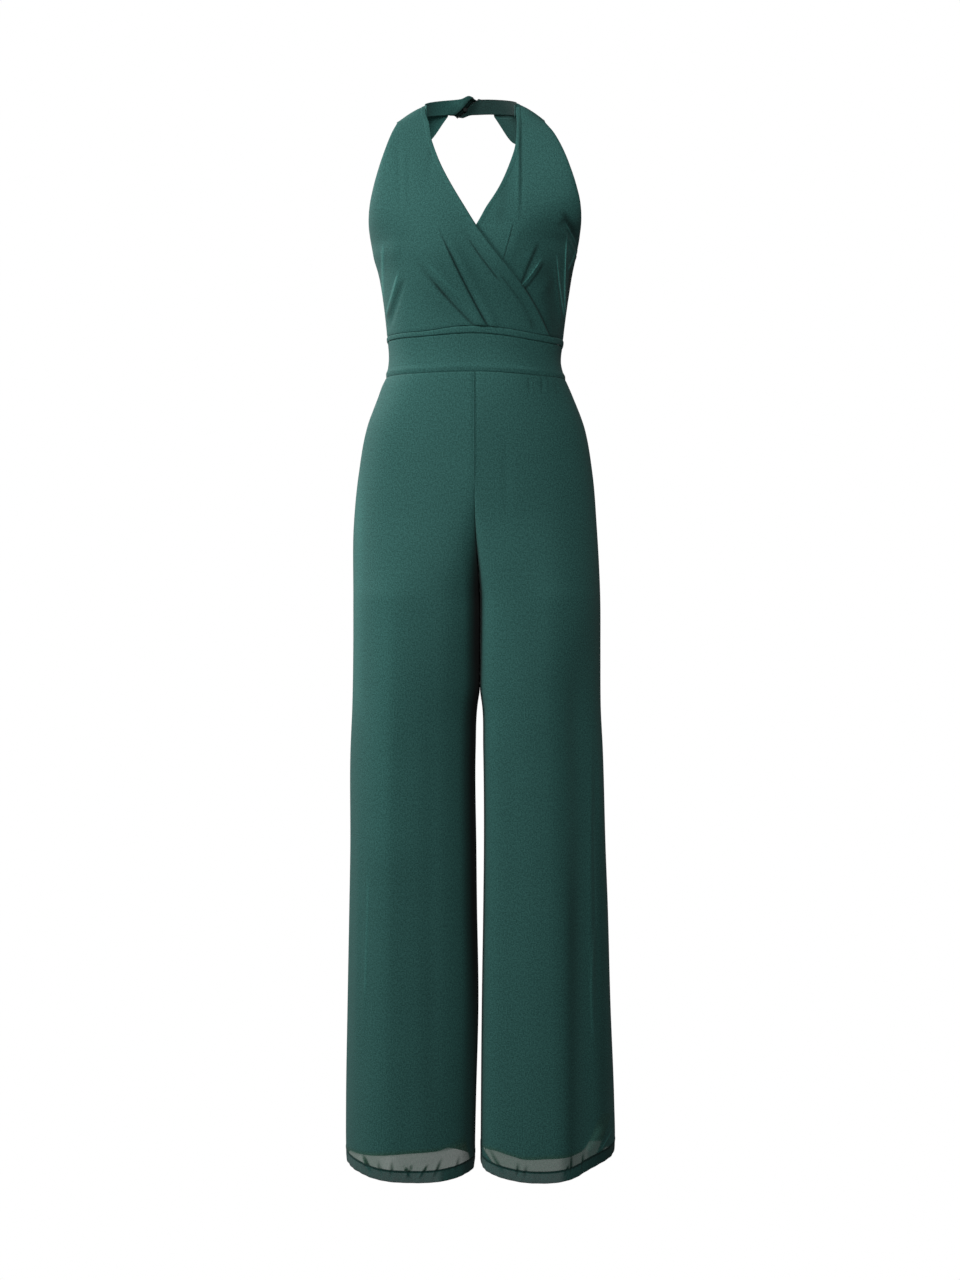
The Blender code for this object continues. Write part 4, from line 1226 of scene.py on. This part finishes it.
# The hems and linings go right round each leg.
def legRing(side, perFace, heightOf, insetOf):
    share = np.arange(perFace) / perFace
    grids, faces = [], []
    for face in (1, -1):
        along = 1 - share if side == face else share
        angle = legAngle(side, face, along)
        height = heightOf(angle)
        grids.append(trouserGrid(side, face, along, height, insetOf(height)))
        faces.append(np.full(perFace, face))
    grid = np.concatenate(grids, axis=1)
    return np.concatenate([grid, grid[:, :1]], axis=1), np.append(np.concatenate(faces), 1)


hem = {
    "rows": 14,
    "perFace": 210,
    "overlap": 0.0006,  # how far its top lies over the leg panel's edge
    "proud": 0.0004,
    "proudTo": (0.3, 0.0),
    "stitchDown": 0.0022,
    "stitchWidth": 0.0007,
    "stitchDepth": 0.0004,
    "stitchPitch": 0.0026,
    "stitchEvenness": 0.6,
    "waves": 34,
    "slowWave": 0.7,
    "waveDepth": 0.00035,
    "foldRound": 0.0007,
    "puckerShade": 0.3,
    # painted shade on each hem towards the wearer's left, less so behind: from x, to x, how much
    "shade": {
        -1: [(-0.0500, -0.0380, 0.12), (-0.0200, -0.0100, 0.30)],
        1: [(0.1050, 0.1220, 0.16), (0.1250, 0.1550, 0.30)],
    },
    "stitch": {"from": 0.0012, "to": 0.0030, "shade": 0.75, "colour": "#0b221f"},
}
hemCloth = clothMaterial("turned chiffon hem", tone=0.85, opacity=0.842, stitch=hem["stitch"])
liningCloth = clothMaterial("lining jersey", tone=0.75)

for side, word in sides:
    share = shares(hem["rows"])[:, None]
    tall = trousers["hemHeight"] + hem["overlap"]
    grid, faces = legRing(
        side,
        hem["perFace"],
        lambda angle: hemHeight(side, angle) + tall * (1 - share),
        lambda height: 0.0,
    )
    above = -trousers["hemHeight"] * share + np.zeros(grid.shape[:2])
    front = np.where(faces < 0, 1.0, 0.0)
    frontPush, frontShade = puckerRelief(side, -1, grid, above)
    backPush, backShade = puckerRelief(side, 1, grid, above)
    push = frontPush * front + backPush * (1 - front)
    shade = hem["puckerShade"] * (frontShade * front + backShade * (1 - front))
    shaded = np.maximum(front, smoothStep(0.0, sideSeamY, grid[..., 1]))
    for start, end, dark in hem["shade"][side]:
        shade = shade + dark * smoothStep(start, end, grid[..., 0]) * shaded
    turn = np.linspace(0.0, 2 * math.pi, grid.shape[1])
    slow = np.sin((hem["waves"] // 2 - 1) * turn + side)
    wave = np.sin(hem["waves"] * turn) + hem["slowWave"] * slow
    push = push + hem["waveDepth"] * wave * share
    ticks = 0.5 + 0.5 * np.cos(2 * math.pi * lengthsAlong(grid, 1)[0] / hem["stitchPitch"])
    stitching = bell(trousers["hemHeight"] * share - hem["stitchDown"], hem["stitchWidth"])
    push = push - hem["stitchDepth"] * stitching * (1 - hem["stitchEvenness"] * ticks)
    push = push - hem["foldRound"] * share**8 + hem["proud"] * smoothStep(*hem["proudTo"], share)
    layCloth(
        f"hem.{word}",
        pushedOut(grid, push, closed=True),
        hemCloth,
        doubleThickness,
        closed=True,
        marks={"paintedShading": shade},
    )
    share = shares(lining["rows"])[:, None]
    slackEnd = lining["top"] - lining["slackLength"]
    grid, faces = legRing(
        side,
        lining["perFace"],
        lambda angle: lining["top"] + share * (liningEdge(side, angle) - lining["top"]),
        lambda height: lining["clearance"]
        + lining["slack"] * smoothStep(lining["top"], slackEnd, height),
    )
    layCloth(
        f"lining.{word}",
        grid,
        liningCloth,
        clothThickness,
        closed=True,
    )
print("hems and linings laid")

# The button is a small dyed polyester one, moulded and a little glossy.
buttonFinish = {
    "dark": "#080d0c",
    "light": "#151d1b",
    "swirl": 0.002,
    "bump": 0.00005,
    "roughness": 0.45,
    "specular": 0.1,
}
material, add, shader = newMaterial("dyed polyester button")
place = add("TexCoord")["Object"]
swirl = {"Vector": place, "Scale": 1 / buttonFinish["swirl"], "Detail": 3.0}
swirl = add("TexNoise", swirl)["Fac"]
dark, light = [linearColour(buttonFinish[word]) for word in ("dark", "light")]
relief = {"Height": swirl, "Distance": buttonFinish["bump"]}
finish = {
    "Base Color": add("Mix", {0: swirl, 6: dark, 7: light}, data_type="RGBA")[2],
    "Normal": add("Bump", relief)[0],
    "Roughness": buttonFinish["roughness"],
    "Specular IOR Level": buttonFinish["specular"],
}
setInputs(shader, finish)
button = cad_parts["neck_button"]
button.data.materials.clear()
button.data.materials.append(material)

# Floor, light and camera.
studio = {
    "floorHeight": -1.62,
    "floorSize": 6.0,
    "lamps": {
        "key": {"at": (-1.88, -0.82, 0.8), "size": (0.7, 1.0), "power": 45.0},
        "fill": {"at": (-0.1, -2.60, 0.8), "size": (0.9, 1.0), "power": 39.0},
        "rim": {"at": (-1.60, 0.90, 0.6), "size": (0.6, 1.2), "power": 29.0},
        "back": {"at": (-0.8, 3.0, 0.8), "size": (1.8, 2.0), "power": 26.0},
    },
    "aim": (0.0, -0.05, -0.70),
    "ambient": 0.13,
    "lens": 68.709,
    "sensorHeight": 36.0,
    "cameraAt": (0.005, -3.255, -0.7075),
}
white, black = (1.0, 1.0, 1.0, 1.0), (0.0, 0.0, 0.0, 1.0)
floorShape = bmesh.new()
bmesh.ops.create_grid(floorShape, x_segments=1, y_segments=1, size=studio["floorSize"])
bmesh.ops.translate(floorShape, verts=floorShape.verts, vec=(0.0, 0.0, studio["floorHeight"]))
floorMesh = bpy.data.meshes.new("floor")
floorShape.to_mesh(floorMesh)
floorShape.free()
floor = bpy.data.objects.new("floor", floorMesh)
bpy.context.scene.collection.objects.link(floor)
floorPaper, add, shader = newMaterial("white paper floor")
finish = {
    "Base Color": black,
    "Specular IOR Level": 0.0,
    "Emission Color": white,
    "Emission Strength": 1.0,
}
setInputs(shader, finish)
floorMesh.materials.append(floorPaper)
floor.visible_diffuse = False
floor.visible_glossy = False
floor.visible_shadow = False

for name, lamp in studio["lamps"].items():
    light = bpy.data.lights.new(name, "AREA")
    light.shape = "RECTANGLE"
    light.size, light.size_y = lamp["size"]
    light.energy = lamp["power"]
    item = bpy.data.objects.new(name, light)
    item.location = lamp["at"]
    towards = Vector(studio["aim"]) - Vector(lamp["at"])
    item.rotation_euler = towards.to_track_quat("-Z", "Y").to_euler()
    bpy.context.scene.collection.objects.link(item)

world = bpy.data.worlds.new("studio")
bpy.context.scene.world = world
world.use_nodes = True
add = partial(addNode, world.node_tree)
seen = add("LightPath")["Is Camera Ray"]
strength = {"Value": seen, "To Min": studio["ambient"], "To Max": 1.0}
backdrop = {"Color": white, "Strength": add("MapRange", strength)[0]}
setInputs(world.node_tree.nodes["Background"], backdrop)

lens = bpy.data.cameras.new("camera")
lens.sensor_fit = "VERTICAL"
lens.sensor_height = studio["sensorHeight"]
lens.lens = studio["lens"]
camera = bpy.data.objects.new("camera", lens)
camera.location = studio["cameraAt"]
camera.rotation_euler = (math.pi / 2, 0.0, 0.0)
bpy.context.scene.collection.objects.link(camera)
bpy.context.scene.camera = camera
bpy.context.scene.view_settings.view_transform = "Standard"
print("studio ready")
